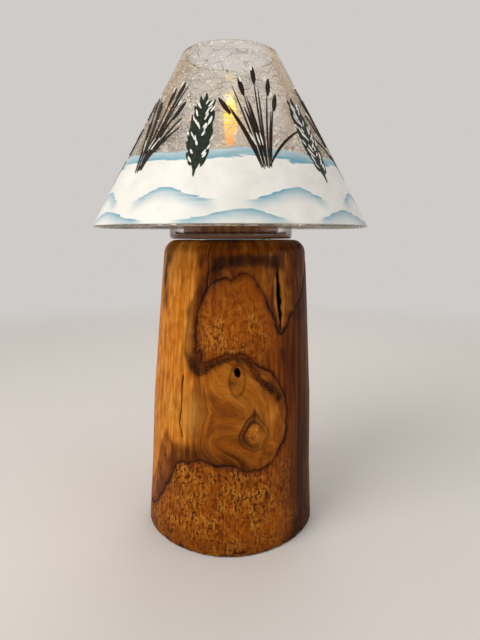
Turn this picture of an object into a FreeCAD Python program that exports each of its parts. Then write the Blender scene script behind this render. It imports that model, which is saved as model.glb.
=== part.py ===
"""Log table lamp with a glass cup, a conical glass shade and a battery candle with a swinging flame.

A tapered log stands on a felt pad. A straight glass cup stands on the log and holds a turned wooden
riser, and a small battery candle in a clear tube stands in the riser's seat. The conical shade is open
at both ends and hangs on the rim of the cup. The candle's flame leaf hangs on a wire over a drive coil.

Frame: +Z up, millimetres, origin on the table under the axis of the glass. -Y is the front.
"""
import FreeCAD
import Part

import math
import os

V = FreeCAD.Vector
UP = V(0, 0, 1)

# ---- log and felt pad ---------------------------------------------------------------------------
LOG_TOP = 217.0            # height of the log's flat top over the table
LOG_TOP_ROUND = 9.0        # rounding of the log's top edge
PAD_R = 50.0               # felt pad under the log
PAD_T = 3.0
PAD_STANDS_PROUD = 1.0     # how far the pad lifts the log off the table
PAD_GAP = 0.3              # round the pad in its recess
# Share of the log's height, and its reach to the left and to the right of the glass axis there
LOG_STATIONS = (
    (0.00, 64.9, 64.0),
    (0.21, 61.7, 61.8),
    (0.47, 58.7, 60.8),
    (0.79, 52.2, 56.9),
    (1.00, 47.9, 54.0),
)
LOG_FLAT = 1.6             # how much flatter the log is from front to back
LOG_LOBE = 1.2             # out-of-round towards the front and the back, three lobes
LOG_SECTION_POINTS = 24
LOG_ROUND_STEPS = 5        # sections along the rounded top edge
KNOT_HOLE_R = 1.9          # open knot on the front
KNOT_HOLE_DEPTH = 6.0
KNOT_HOLE_AT = (4.0, 130.0)    # sideways and up
SLIT_W = 2.6               # bark slit up and to the right of it
SLIT_L = 38.0
SLIT_DEPTH = 4.0
SLIT_AT = (33.8, 182.0)
CUT_REACH = 80.0           # longer than any half width, for cutters
SAME_PLACE = 0.01          # edges nearer than this to a wanted place are picked

# ---- glass cup and riser ------------------------------------------------------------------------
BUMPER_R = 5.0             # clear dots that the cup stands on
BUMPER_T = 0.8
BUMPER_RING_R = 32.0
BUMPER_COUNT = 4
CUP_R = 45.2
CUP_WALL = 3.2
CUP_FLOOR = 3.0
CUP_H = 98.4
CUP_RIM_ROUND = 1.3
CUP_FOOT_ROUND = 2.0
CUP_INNER_ROUND = 3.0
RISER_R = 35.0
RISER_H = 39.2
RISER_EDGE = 1.5
SEAT_DEPTH = 3.0           # the candle's seat in the riser
SEAT_GAP = 0.35            # round the candle in its seat

# ---- shade --------------------------------------------------------------------------------------
SHADE_R = 98.5             # widest, over the rounded bottom rim
SHADE_TOP_R = 33.6
SHADE_H = 118.1
SHADE_WALL = 3.2           # across the wall
SHADE_RIM_ROUND = 0.8
SHADE_SEAT_GAP = 0.3       # between the cone and the cup's rim

# ---- battery candle, heights are from the candle's foot -------------------------------------------
CANDLE_R = 15.75
SHELL_T = 1.5              # plastic wall
FOOT_RING_H = 2.0
FLOOR_T = 1.6
BASE_H = 11.0              # lower shell
COLLAR_H = 9.0             # upper shell up to the tube's shoulder
SPIGOT_H = 3.8             # stands into the tube
SPIGOT_WALL = 1.6
DISH_T = 1.6
TUBE_WALL = 2.5
TUBE_H = 37.0
TUBE_FIT = 0.15            # between spigot and tube
TUBE_RIM_ROUND = 0.9

CELL_R = 10.0              # 2032 coin cell
CELL_T = 3.2
CELL_CAP_R = 8.7           # smaller cap on top of its can
CELL_CAP_T = 0.7
CELL_Y = -3.0              # the cell and its door sit forward of the switch
CELL_GAP = 0.4
CAGE_T = 1.4
DOOR_GAP = 0.15
DOOR_OVERLAP = 0.8         # how much wider the door is than the cage's bore
DOOR_T = 1.5
COIN_SLOT = (12.0, 1.6, 0.8)
LUG_REACH = 1.0
LUG_T = 0.6
LUG_HALF_DEG = 8.0
DOOR_TURN_DEG = 40.0
LUG_FREE_DEG = 1.5         # spare turn at each end of the groove

BOARD_R = 11.3             # it lies on the cage's rim
BOARD_T = 1.0
CONTACT_T = 0.3
CONTACT_ROOM = 1.05        # between the cell and the board
POSITIVE_CONTACT_W = 4.0
POSITIVE_CONTACT_FOOT = 1.7    # the part bent in under the board
POSITIVE_CONTACT_GAP = 0.15    # to the cell's can
NEGATIVE_CONTACT = (9.0, 3.0)
NEGATIVE_CONTACT_FLAT = 3.0    # the part that lies on the cell
CHIP = (4.0, 3.0, 1.4)
CHIP_AT = (-6.2, 3.4)
COIL_R = 4.0
COIL_BORE_R = 1.5
COIL_H = 1.8

SWITCH_BODY = (8.0, 3.2, 3.6)
SWITCH_Y = 11.0
SWITCH_TRAVEL = 2.2
SWITCH_PIN_R = 0.3
SWITCH_PIN_PITCH = 2.5
KNOB_STEM = (2.2, 1.6)
KNOB_PAD = (3.4, 2.8)
KNOB_PAD_T = 1.1
KNOB_STEM_UP = 2.0         # stem above the floor
KNOB_GROOVE = (0.4, 0.35)  # width and depth
KNOB_GROOVE_PITCH = 0.85
KNOB_GAP = 0.25

SCREW_AT = (11.2, 7.6)     # a pair, left and right
SCREW_R = 0.75
SCREW_HEAD_R = 1.45
SCREW_HEAD_T = 0.9
SCREW_L = 13.0
SCREW_GAP = 0.05
BOSS_R = 1.95

WIRE_R = 0.4
WIRE_L = 12.0
WIRE_FIT = 0.05            # running clearance in the flame's eye
LEAF_T = 0.6
LEAF_H = 36.5              # from neck to tip
LEAF_OVER_DISH = 1.0       # its neck
LEAF_NECK_W = 5.0
LEAF_W = 9.2               # at its widest
LEAF_WIDE_UP = 15.4        # height of the widest place over the neck
LEAF_SHOULDER_W = 5.3      # near the tip
LEAF_SHOULDER_DOWN = 5.1   # below the tip
PADDLE_W = 4.4
FLAME_SLOT = (10.4, 4.2)
MAGNET_R = 3.4
MAGNET_T = 3.2
MAGNET_OVER_COIL = 0.7
LED_R = 1.5
LED_BODY_H = 4.0
LED_TILT_DEG = 18.0
LED_Y = -9.0
LED_GAP = 0.15             # round the LED in the dish
LED_OVER_DISH = 1.0        # straight part of the LED above the dish
LEAD_R = 0.25
LEAD_PITCH = 1.27          # at the LED
LEAD_BOARD_PITCH = 2.54
LEAD_KNEE = 2.0            # height of the knee under the LED

# ---- worked out from the values above -----------------------------------------------------------
log_foot_z = PAD_STANDS_PROUD
log_h = LOG_TOP - log_foot_z
cup_z = LOG_TOP + BUMPER_T
cup_rim_z = cup_z + CUP_H
cup_bore_r = CUP_R - CUP_WALL
riser_z = cup_z + CUP_FLOOR
riser_top_z = riser_z + RISER_H
candle_z = riser_top_z - SEAT_DEPTH

# The rim's outer corner before rounding, found from the half angle of the corner
rim_half_angle = (math.pi / 2 - math.atan((SHADE_R - SHADE_TOP_R) / SHADE_H)) / 2
shade_foot_r = SHADE_R + SHADE_RIM_ROUND * (1 / math.tan(rim_half_angle) - 1)
shade_slope = (shade_foot_r - SHADE_TOP_R) / SHADE_H       # radius lost per height
shade_lean = math.hypot(1.0, shade_slope)
shade_wall_flat = SHADE_WALL * shade_lean                  # wall measured level
shade_bore_r = shade_foot_r - shade_wall_flat              # inner radius at the bottom rim
# Height of the cup's rim, inside the shade, at which its rounded edge lies SHADE_SEAT_GAP off the cone
rim_over_shade_foot = (
    shade_bore_r - (CUP_R - CUP_RIM_ROUND) - (CUP_RIM_ROUND + SHADE_SEAT_GAP) * shade_lean
) / shade_slope + CUP_RIM_ROUND
shade_z = cup_rim_z - rim_over_shade_foot

floor_top = FOOT_RING_H + FLOOR_T
shell_bore_r = CANDLE_R - SHELL_T
cage_bore_r = CELL_R + CELL_GAP
door_r = cage_bore_r + DOOR_OVERLAP
lug_r = door_r + LUG_REACH
shoulder_z = BASE_H + COLLAR_H                             # where the tube stands
dish_top = shoulder_z + SPIGOT_H
dish_z = dish_top - DISH_T
tube_bore_r = CANDLE_R - TUBE_WALL
spigot_r = tube_bore_r - TUBE_FIT
cell_z = floor_top + DOOR_GAP
board_z = cell_z + CELL_T + CONTACT_ROOM
board_top = board_z + BOARD_T
coil_top = board_top + COIL_H
magnet_z = coil_top + MAGNET_OVER_COIL
magnet_top = magnet_z + MAGNET_T
wire_z = dish_z + DISH_T / 2
leaf_neck_z = dish_top + LEAF_OVER_DISH
led_z = dish_top + LED_OVER_DISH - LED_BODY_H              # start of the LED's body


def cylinder(radius, z0, z1, x=0.0, y=0.0):
    """Upright cylinder from z0 to z1."""
    return Part.makeCylinder(radius, z1 - z0, V(x, y, z0), UP)


def tube(r_out, r_in, z0, z1, x=0.0, y=0.0):
    """Upright tube, open at both ends."""
    return cylinder(r_out, z0, z1, x, y).cut(cylinder(r_in, z0, z1, x, y))


def block(size, x=0.0, y=0.0, z=0.0):
    """Box centred on x, y and standing on z."""
    return Part.makeBox(size[0], size[1], size[2], V(x - size[0] / 2, y - size[1] / 2, z))


def sector(r_out, r_in, deg_from, deg_to, z0, z1, x=0.0, y=0.0):
    """Part of a ring between two angles."""
    ring = Part.makeCylinder(r_out, z1 - z0, V(x, y, z0), UP, deg_to - deg_from)
    ring.rotate(V(x, y, z0), UP, deg_from)
    return ring.cut(cylinder(r_in, z0, z1, x, y))


def round_edges(shape, radius, wanted):
    """Rounds the edges that wanted(edge) picks."""
    return shape.makeFillet(radius, [e for e in shape.Edges if wanted(e)])


def ring_at(edge, z, radius):
    """True for a full circle edge of that radius at that height."""
    box = edge.BoundBox
    return max(abs(box.ZMin - z), abs(box.ZMax - z), abs(box.XMax - radius)) < SAME_PLACE


def led_cylinder(radius, height):
    """Cylinder along the LED's leaning axis, from the start of its body."""
    body = cylinder(radius, led_z, led_z + height, 0, LED_Y)
    body.rotate(V(0, LED_Y, led_z), V(1, 0, 0), -LED_TILT_DEG)
    return body


def placed(shape):
    """Candle parts are modelled from the candle's foot, and stand in the riser's seat."""
    return shape.translated(V(0, 0, candle_z))


# ---- log ----------------------------------------------------------------------------------------
def log_reaches(share):
    """The log's reach to the left and to the right at a share of its height."""
    for (s0, l0, r0), (s1, l1, r1) in zip(LOG_STATIONS, LOG_STATIONS[1:]):
        if s0 <= share <= s1:
            t = (share - s0) / (s1 - s0)
            return l0 + t * (l1 - l0), r0 + t * (r1 - r0)
    raise ValueError("the height is outside the log")


def log_section(share, inset=0.0):
    """Closed outline of the log at one height, drawn in by inset."""
    left, right = log_reaches(share)
    middle = (right - left) / 2
    reach = (right + left) / 2 - inset
    points = []
    for i in range(LOG_SECTION_POINTS):
        a = 2 * math.pi * i / LOG_SECTION_POINTS
        lobe = LOG_LOBE * math.sin(3 * a + math.pi * share)
        r = reach + (lobe - LOG_FLAT / 2) * math.sin(a) ** 2
        points.append(V(middle + r * math.cos(a), r * math.sin(a), log_foot_z + share * log_h))
    curve = Part.BSplineCurve()
    curve.interpolate(points, PeriodicFlag=True)
    return Part.Wire([curve.toShape()])


def front_at(x, z):
    """Roughly how far forward the log's face is at sideways place x and height z."""
    left, right = log_reaches((z - log_foot_z) / log_h)
    middle, reach = (right - left) / 2, (right + left) / 2
    return -math.sqrt(reach ** 2 - (x - middle) ** 2) + LOG_FLAT / 2


def make_log():
    """Tapered log with a rounded top, a pad recess, an open knot and a bark slit."""
    straight = 1.0 - LOG_TOP_ROUND / log_h
    trunk = [log_section(share) for share, _, _ in LOG_STATIONS if share < straight]
    trunk.append(log_section(straight))
    crown = []
    for i in range(LOG_ROUND_STEPS + 1):
        a = math.pi / 2 * i / LOG_ROUND_STEPS
        share = min(1.0, straight + LOG_TOP_ROUND * math.sin(a) / log_h)
        crown.append(log_section(share, LOG_TOP_ROUND * (1 - math.cos(a))))
    log = Part.makeLoft(trunk, True).fuse(Part.makeLoft(crown, True))
    log = log.cut(cylinder(PAD_R + PAD_GAP, log_foot_z, PAD_T))
    x, z = KNOT_HOLE_AT
    knot = Part.makeCylinder(KNOT_HOLE_R, CUT_REACH, V(x, front_at(x, z) + KNOT_HOLE_DEPTH, z), V(0, -1, 0))
    x, z = SLIT_AT
    slit = Part.makeSphere(1.0)
    stretch = FreeCAD.Matrix()
    stretch.scale(SLIT_W / 2, SLIT_DEPTH, SLIT_L / 2)
    slit = slit.transformGeometry(stretch).translated(V(x, front_at(x, z), z))
    return log.cut(knot).cut(slit)


def make_pad():
    """Felt disc in the log's underside."""
    return cylinder(PAD_R, 0, PAD_T)


# ---- cup, bumpers and riser -----------------------------------------------------------------------
def make_cup():
    """Straight glass cup with a closed bottom."""
    cup = cylinder(CUP_R, cup_z, cup_rim_z)
    cup = cup.cut(cylinder(cup_bore_r, cup_z + CUP_FLOOR, cup_rim_z))
    cup = round_edges(cup, CUP_FOOT_ROUND, lambda e: ring_at(e, cup_z, CUP_R))
    cup = round_edges(cup, CUP_INNER_ROUND, lambda e: ring_at(e, cup_z + CUP_FLOOR, cup_bore_r))
    return round_edges(
        cup, CUP_RIM_ROUND,
        lambda e: ring_at(e, cup_rim_z, CUP_R) or ring_at(e, cup_rim_z, cup_bore_r),
    )


def make_bumpers():
    """Clear self-adhesive dots under the cup."""
    dots = []
    for i in range(BUMPER_COUNT):
        a = 2 * math.pi * (i + 0.5) / BUMPER_COUNT
        x, y = BUMPER_RING_R * math.cos(a), BUMPER_RING_R * math.sin(a)
        dots.append(cylinder(BUMPER_R, LOG_TOP, cup_z, x, y))
    return Part.makeCompound(dots)


def make_riser():
    """Turned block with the candle's seat in its top."""
    riser = cylinder(RISER_R, riser_z, riser_top_z)
    riser = round_edges(riser, RISER_EDGE, lambda e: ring_at(e, riser_top_z, RISER_R))
    riser = riser.makeChamfer(
        CUP_INNER_ROUND / 2, [e for e in riser.Edges if ring_at(e, riser_z, RISER_R)]
    )
    return riser.cut(cylinder(CANDLE_R + SEAT_GAP, candle_z, riser_top_z))


# ---- shade --------------------------------------------------------------------------------------
def make_shade():
    """Conical shade, open at both ends, with fire-polished rims."""
    mouth_r = SHADE_TOP_R - shade_wall_flat
    outer = Part.makeCone(shade_foot_r, SHADE_TOP_R, SHADE_H, V(0, 0, shade_z), UP)
    inner = Part.makeCone(shade_bore_r, mouth_r, SHADE_H, V(0, 0, shade_z), UP)
    top = shade_z + SHADE_H
    return round_edges(
        outer.cut(inner), SHADE_RIM_ROUND,
        lambda e: ring_at(e, shade_z, shade_foot_r) or ring_at(e, shade_z, shade_bore_r)
        or ring_at(e, top, SHADE_TOP_R) or ring_at(e, top, mouth_r),
    )


# ---- candle shells and tube -----------------------------------------------------------------------
def screw_places():
    """Left and right screw, x and y."""
    return [(side * SCREW_AT[0], SCREW_AT[1]) for side in (-1, 1)]


def make_candle_base():
    """Lower shell: foot ring, floor with battery opening and switch slot, cell cage and screw bosses."""
    shell = cylinder(CANDLE_R, 0, BASE_H).cut(cylinder(shell_bore_r, floor_top, BASE_H))
    shell = shell.cut(cylinder(shell_bore_r, 0, FOOT_RING_H))
    inside = cylinder(shell_bore_r + SHELL_T / 2, floor_top, BASE_H)
    cage = tube(cage_bore_r + CAGE_T, cage_bore_r, floor_top, board_z, y=CELL_Y)
    shell = shell.fuse(cage.common(inside))
    for x, y in screw_places():
        shell = shell.fuse(cylinder(BOSS_R, floor_top, BASE_H, x, y).common(inside))
    shell = shell.cut(cylinder(cage_bore_r, FOOT_RING_H, board_z, y=CELL_Y))
    shell = shell.cut(cylinder(door_r + DOOR_GAP, FOOT_RING_H, floor_top, y=CELL_Y))
    lug_z0, lug_z1 = FOOT_RING_H + DOOR_T - LUG_T - DOOR_GAP, floor_top
    for start in (0.0, 180.0):
        low = start - LUG_HALF_DEG - LUG_FREE_DEG
        high = start + DOOR_TURN_DEG + LUG_HALF_DEG + LUG_FREE_DEG
        entry = high - 2 * (LUG_HALF_DEG + LUG_FREE_DEG)
        reach = lug_r + DOOR_GAP
        shell = shell.cut(sector(reach, cage_bore_r, low, high, lug_z0, lug_z1, y=CELL_Y))
        shell = shell.cut(sector(reach, cage_bore_r, entry, high, FOOT_RING_H, lug_z1, y=CELL_Y))
    for x, y in screw_places():
        shell = shell.cut(cylinder(SCREW_R + SCREW_GAP, FOOT_RING_H, BASE_H, x, y))
        head = SCREW_HEAD_T + SCREW_GAP
        shell = shell.cut(cylinder(SCREW_HEAD_R + SCREW_GAP, FOOT_RING_H, FOOT_RING_H + head, x, y))
    slot = (SWITCH_TRAVEL + KNOB_STEM[0] + 2 * KNOB_GAP, KNOB_STEM[1] + 2 * KNOB_GAP, FLOOR_T)
    shell = shell.cut(block(slot, 0, SWITCH_Y, FOOT_RING_H))
    notch = (2 * CAGE_T + CELL_GAP, POSITIVE_CONTACT_W + 2 * KNOB_GAP, board_z - floor_top)
    shell = shell.cut(block(notch, cage_bore_r, CELL_Y, floor_top))
    return placed(shell)


def make_candle_collar():
    """Upper shell: shoulder for the tube, spigot, and dish with the flame's slot and the LED's hole."""
    shell = cylinder(CANDLE_R, BASE_H, shoulder_z)
    shell = shell.fuse(cylinder(spigot_r, shoulder_z, dish_top))
    shell = shell.cut(cylinder(shell_bore_r, BASE_H, shoulder_z - SHELL_T))
    shell = shell.cut(cylinder(spigot_r - SPIGOT_WALL, BASE_H, dish_z))
    screw_top = FOOT_RING_H + SCREW_L + SCREW_HEAD_T
    inside = cylinder(shell_bore_r + SHELL_T / 2, BASE_H, shoulder_z - SHELL_T)
    for x, y in screw_places():
        shell = shell.fuse(cylinder(BOSS_R, BASE_H, shoulder_z - SHELL_T, x, y).common(inside))
        shell = shell.cut(cylinder(SCREW_R + SCREW_GAP, BASE_H, screw_top, x, y))
    shell = shell.cut(block((*FLAME_SLOT, DISH_T), 0, 0, dish_z))
    shell = shell.cut(block((2 * WIRE_R, WIRE_L, dish_top - wire_z), 0, 0, wire_z))
    shell = shell.cut(Part.makeCylinder(WIRE_R, WIRE_L, V(0, -WIRE_L / 2, wire_z), V(0, 1, 0)))
    return placed(shell.cut(led_cylinder(LED_R + LED_GAP, LED_BODY_H)))


def make_tube():
    """Clear tube that stands on the collar's shoulder round the flame."""
    top = shoulder_z + TUBE_H
    clear = tube(CANDLE_R, tube_bore_r, shoulder_z, top)
    clear = round_edges(
        clear, TUBE_RIM_ROUND,
        lambda e: ring_at(e, top, CANDLE_R) or ring_at(e, top, tube_bore_r),
    )
    return placed(clear)


def make_screws():
    """The two screws that hold the shells together."""
    screws = []
    for x, y in screw_places():
        head = cylinder(SCREW_HEAD_R, FOOT_RING_H, FOOT_RING_H + SCREW_HEAD_T, x, y)
        shank = cylinder(SCREW_R, FOOT_RING_H, FOOT_RING_H + SCREW_HEAD_T + SCREW_L - SCREW_GAP, x, y)
        drive = block((2 * SCREW_R, SCREW_R / 2, SCREW_HEAD_T / 2), x, y, FOOT_RING_H)
        screws.append(head.fuse(shank).cut(drive))
    return placed(Part.makeCompound(screws))


# ---- battery, board and switch ----------------------------------------------------------------------
def make_door():
    """Battery door with two bayonet lugs and a coin slot."""
    z0 = FOOT_RING_H
    door = cylinder(door_r, z0, z0 + DOOR_T, y=CELL_Y)
    for start in (0.0, 180.0):
        lug = sector(
            lug_r, door_r / 2, start - LUG_HALF_DEG, start + LUG_HALF_DEG,
            z0 + DOOR_T - LUG_T, z0 + DOOR_T, y=CELL_Y,
        )
        door = door.fuse(lug)
    return placed(door.cut(block(COIN_SLOT, 0, CELL_Y, z0)))


def make_cell():
    """Coin cell: a can with a smaller cap on top."""
    can = cylinder(CELL_R, cell_z, cell_z + CELL_T - CELL_CAP_T, y=CELL_Y)
    return placed(can.fuse(cylinder(CELL_CAP_R, cell_z, cell_z + CELL_T, y=CELL_Y)))


def make_negative_contact():
    """Bent leaf between the cell's cap and the board."""
    length, width = NEGATIVE_CONTACT
    z0, z1 = cell_z + CELL_T, board_z
    left, bend, right = -length / 2, NEGATIVE_CONTACT_FLAT - length / 2, length / 2
    outline = [
        V(left, 0, z0), V(bend, 0, z0), V(right, 0, z1 - CONTACT_T),
        V(right, 0, z1), V(bend, 0, z0 + CONTACT_T), V(left, 0, z0 + CONTACT_T),
    ]
    face = Part.Face(Part.makePolygon(outline + outline[:1]))
    leaf = face.extrude(V(0, width, 0)).translated(V(0, CELL_Y - width / 2, 0))
    return placed(leaf)


def make_positive_contact():
    """Strip beside the cell's can, up to the board."""
    x0 = CELL_R + POSITIVE_CONTACT_GAP
    x1 = x0 + CONTACT_T
    strip = block((CONTACT_T, POSITIVE_CONTACT_W, board_z - floor_top), (x0 + x1) / 2, CELL_Y, floor_top)
    foot = block(
        (POSITIVE_CONTACT_FOOT, POSITIVE_CONTACT_W, CONTACT_T),
        x1 - POSITIVE_CONTACT_FOOT / 2, CELL_Y, board_z - CONTACT_T,
    )
    return placed(strip.fuse(foot))


def make_board():
    """Round circuit board with a tab over the switch."""
    tab_end = SWITCH_Y + SWITCH_BODY[1] / 2
    board = cylinder(BOARD_R, board_z, board_top)
    tab = Part.makeBox(SWITCH_BODY[0], tab_end, BOARD_T, V(-SWITCH_BODY[0] / 2, 0, board_z))
    board = board.fuse(tab)
    for i in (-1, 0, 1):
        board = board.cut(cylinder(SWITCH_PIN_R, board_z, board_top, i * SWITCH_PIN_PITCH, SWITCH_Y))
    for side in (-1, 1):
        board = board.cut(cylinder(LEAD_R, board_z, board_top, side * LEAD_BOARD_PITCH / 2, LED_Y))
    return placed(board)


def make_chip():
    """Controller chip on the board."""
    return placed(block(CHIP, *CHIP_AT, board_top))


def make_coil():
    """Drive coil under the flame's magnet."""
    return placed(tube(COIL_R, COIL_BORE_R, board_top, coil_top))


def make_switch_body():
    """Slide switch case, open below for the knob, with three pins into the board."""
    body = block(SWITCH_BODY, 0, SWITCH_Y, floor_top)
    room = (SWITCH_TRAVEL + KNOB_STEM[0] + 2 * KNOB_GAP, KNOB_STEM[1] + 2 * KNOB_GAP,
            KNOB_STEM_UP + KNOB_GAP)
    body = body.cut(block(room, 0, SWITCH_Y, floor_top))
    top = floor_top + SWITCH_BODY[2]
    for i in (-1, 0, 1):
        body = body.fuse(cylinder(SWITCH_PIN_R, top, board_top, i * SWITCH_PIN_PITCH, SWITCH_Y))
    return placed(body)


def make_switch_knob():
    """Knob at the off end of its slot. It slides SWITCH_TRAVEL along +X."""
    x = -SWITCH_TRAVEL / 2
    pad_z = FOOT_RING_H - KNOB_GAP - KNOB_PAD_T
    pad = block((*KNOB_PAD, KNOB_PAD_T), x, SWITCH_Y, pad_z)
    stem = block((*KNOB_STEM, floor_top + KNOB_STEM_UP - pad_z), x, SWITCH_Y, pad_z)
    knob = pad.fuse(stem)
    groove_w, groove_d = KNOB_GROOVE
    for i in (-1, 0, 1):
        groove_x = x + i * KNOB_GROOVE_PITCH
        knob = knob.cut(block((groove_w, KNOB_PAD[1], groove_d), groove_x, SWITCH_Y, pad_z))
    return placed(knob)


# ---- flame and light --------------------------------------------------------------------------------
def make_leaf():
    """Flame leaf with its paddle and the eye that hangs on the wire."""
    tip_z = leaf_neck_z + LEAF_H
    right = [
        V(LEAF_NECK_W / 2, 0, leaf_neck_z), V(LEAF_W / 2, 0, leaf_neck_z + LEAF_WIDE_UP),
        V(LEAF_SHOULDER_W / 2, 0, tip_z - LEAF_SHOULDER_DOWN), V(0, 0, tip_z),
    ]
    side = Part.BSplineCurve()
    side.interpolate(right)
    other = Part.BSplineCurve()
    other.interpolate([V(-p.x, 0, p.z) for p in reversed(right)])
    neck = Part.LineSegment(V(-LEAF_NECK_W / 2, 0, leaf_neck_z), V(LEAF_NECK_W / 2, 0, leaf_neck_z))
    face = Part.Face(Part.Wire([side.toShape(), other.toShape(), neck.toShape()]))
    leaf = face.extrude(V(0, LEAF_T, 0)).translated(V(0, -LEAF_T / 2, 0))
    paddle = Part.makeBox(
        PADDLE_W, LEAF_T, leaf_neck_z + LEAF_T - magnet_top,
        V(-PADDLE_W / 2, -LEAF_T / 2, magnet_top),
    )
    eye = Part.makeCylinder(WIRE_R + WIRE_FIT, LEAF_T, V(0, -LEAF_T / 2, wire_z), V(0, 1, 0))
    return placed(leaf.fuse(paddle).removeSplitter().cut(eye))


def make_magnet():
    """Disc magnet on the paddle's lower end."""
    return placed(cylinder(MAGNET_R, magnet_z, magnet_top))


def make_wire():
    """Pivot wire in the dish's groove."""
    return placed(Part.makeCylinder(WIRE_R, WIRE_L, V(0, -WIRE_L / 2, wire_z), V(0, 1, 0)))


def make_led():
    """LED that leans towards the flame."""
    tip = Part.makeSphere(LED_R, V(0, LED_Y, led_z + LED_BODY_H))
    tip.rotate(V(0, LED_Y, led_z), V(1, 0, 0), -LED_TILT_DEG)
    return placed(led_cylinder(LED_R, LED_BODY_H).fuse(tip))


def make_leads():
    """The LED's two leads, from the board up to its body."""
    leads = []
    end_z = led_z - LEAD_R * math.tan(math.radians(LED_TILT_DEG))
    for side in (-1, 1):
        foot_x, top_x = side * LEAD_BOARD_PITCH / 2, side * LEAD_PITCH / 2
        path = Part.makePolygon([
            V(foot_x, LED_Y, board_z), V(foot_x, LED_Y, led_z - LEAD_KNEE), V(top_x, LED_Y, end_z),
        ])
        ring = Part.Wire([Part.makeCircle(LEAD_R, V(foot_x, LED_Y, board_z), UP)])
        leads.append(path.makePipeShell([ring], True, False, 1))
    return placed(Part.makeCompound(leads))


PARTS = {
    "log_base": make_log,
    "felt_pad": make_pad,
    "cup_bumpers": make_bumpers,
    "glass_cup": make_cup,
    "candle_riser": make_riser,
    "glass_shade": make_shade,
    "candle_base_shell": make_candle_base,
    "candle_collar_shell": make_candle_collar,
    "candle_tube": make_tube,
    "shell_screws": make_screws,
    "battery_door": make_door,
    "coin_cell": make_cell,
    "negative_contact": make_negative_contact,
    "positive_contact": make_positive_contact,
    "circuit_board": make_board,
    "controller_chip": make_chip,
    "drive_coil": make_coil,
    "switch_body": make_switch_body,
    "switch_knob": make_switch_knob,
    "flame_leaf": make_leaf,
    "flame_magnet": make_magnet,
    "pivot_wire": make_wire,
    "led": make_led,
    "led_leads": make_leads,
}


def main():
    """Writes one STEP file per piece."""
    os.makedirs("parts", exist_ok=True)
    for name, make in PARTS.items():
        shape = make()
        solids = shape.Solids
        print(f"{name:20s} {len(solids)} solids, valid {shape.isValid()}, {shape.Volume / 1000:.3f} cm3")
        out = solids[0] if len(solids) == 1 else Part.makeCompound(solids)
        out.exportStep(f"parts/{name}.step")
    print(f"cup rim {cup_rim_z:.2f}, shade foot {shade_z:.2f}, candle foot {candle_z:.2f}")
    print(f"flame wire {wire_z + candle_z:.2f}, door {FOOT_RING_H + candle_z:.2f}")


main()
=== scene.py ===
"""Looks of a table lamp: a varnished log carries a glass cup, in which a wooden
riser and a moving-flame candle stand, and a crackled glass shade painted with a
winter scene sits over them.

Sizes are in millimetres in the classes and in metres in the meshes. The frame is
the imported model's own: X to the right, Y to the back, Z up from the table.
"""

from __future__ import annotations

import logging
import math
from dataclasses import dataclass, field
from enum import Enum
from functools import partial
from typing import Callable, Iterable, Sequence

import bpy
import numpy as np
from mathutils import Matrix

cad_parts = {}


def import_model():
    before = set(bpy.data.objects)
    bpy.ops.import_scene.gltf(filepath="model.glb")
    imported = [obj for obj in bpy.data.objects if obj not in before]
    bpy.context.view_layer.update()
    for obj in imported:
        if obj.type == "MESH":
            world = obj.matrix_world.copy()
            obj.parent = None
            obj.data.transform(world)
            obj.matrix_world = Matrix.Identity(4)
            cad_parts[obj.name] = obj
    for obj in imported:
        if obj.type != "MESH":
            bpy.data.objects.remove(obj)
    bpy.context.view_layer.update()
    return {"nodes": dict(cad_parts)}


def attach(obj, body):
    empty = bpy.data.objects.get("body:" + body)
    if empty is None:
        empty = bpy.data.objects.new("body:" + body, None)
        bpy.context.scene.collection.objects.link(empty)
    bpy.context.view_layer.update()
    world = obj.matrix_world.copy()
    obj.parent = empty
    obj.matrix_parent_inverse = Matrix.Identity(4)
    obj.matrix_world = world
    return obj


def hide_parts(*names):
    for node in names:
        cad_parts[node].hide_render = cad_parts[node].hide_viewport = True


LOG = logging.getLogger("lamp")
MM = 0.001  # metres in a millimetre
WELD = 1e-6  # m, points nearer than this become one
FULL_TURN = 360.0  # degrees
FRONT = -90.0  # where azimuth 0 lies, in degrees from +X
EASED = {"interpolation_type": "SMOOTHSTEP"}  # for a Map Range that starts and ends softly

Curve = tuple[tuple[float, float], ...]
Stops = tuple[tuple[float, str], ...]  # of a colour ramp: place and hex colour
Spots = tuple[tuple[float, float, float, float, float], ...]  # as Side.spots reads them
Colour = tuple[float, float, float, float]
Source = bpy.types.Node | bpy.types.NodeSocket | tuple[float, ...] | float | str
Adder = Callable[..., bpy.types.Node]
Marks = dict[str, np.ndarray]


def linear(code: str) -> Colour:
    """Turn an sRGB hex code into linear light.

    Args:
        code: a colour such as "#C8843A".

    Returns:
        Red, green, blue and an alpha of 1.
    """
    shares = (int(code[at : at + 2], 16) / 255 for at in (1, 3, 5))
    red, green, blue = (s / 12.92 if s <= 0.04045 else ((s + 0.055) / 1.055) ** 2.4 for s in shares)
    return red, green, blue, 1.0


def in_use(sockets: Iterable[bpy.types.NodeSocket]) -> list[bpy.types.NodeSocket]:
    """List the sockets that a node's settings leave in use."""
    return [socket for socket in sockets if socket.enabled]


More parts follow.
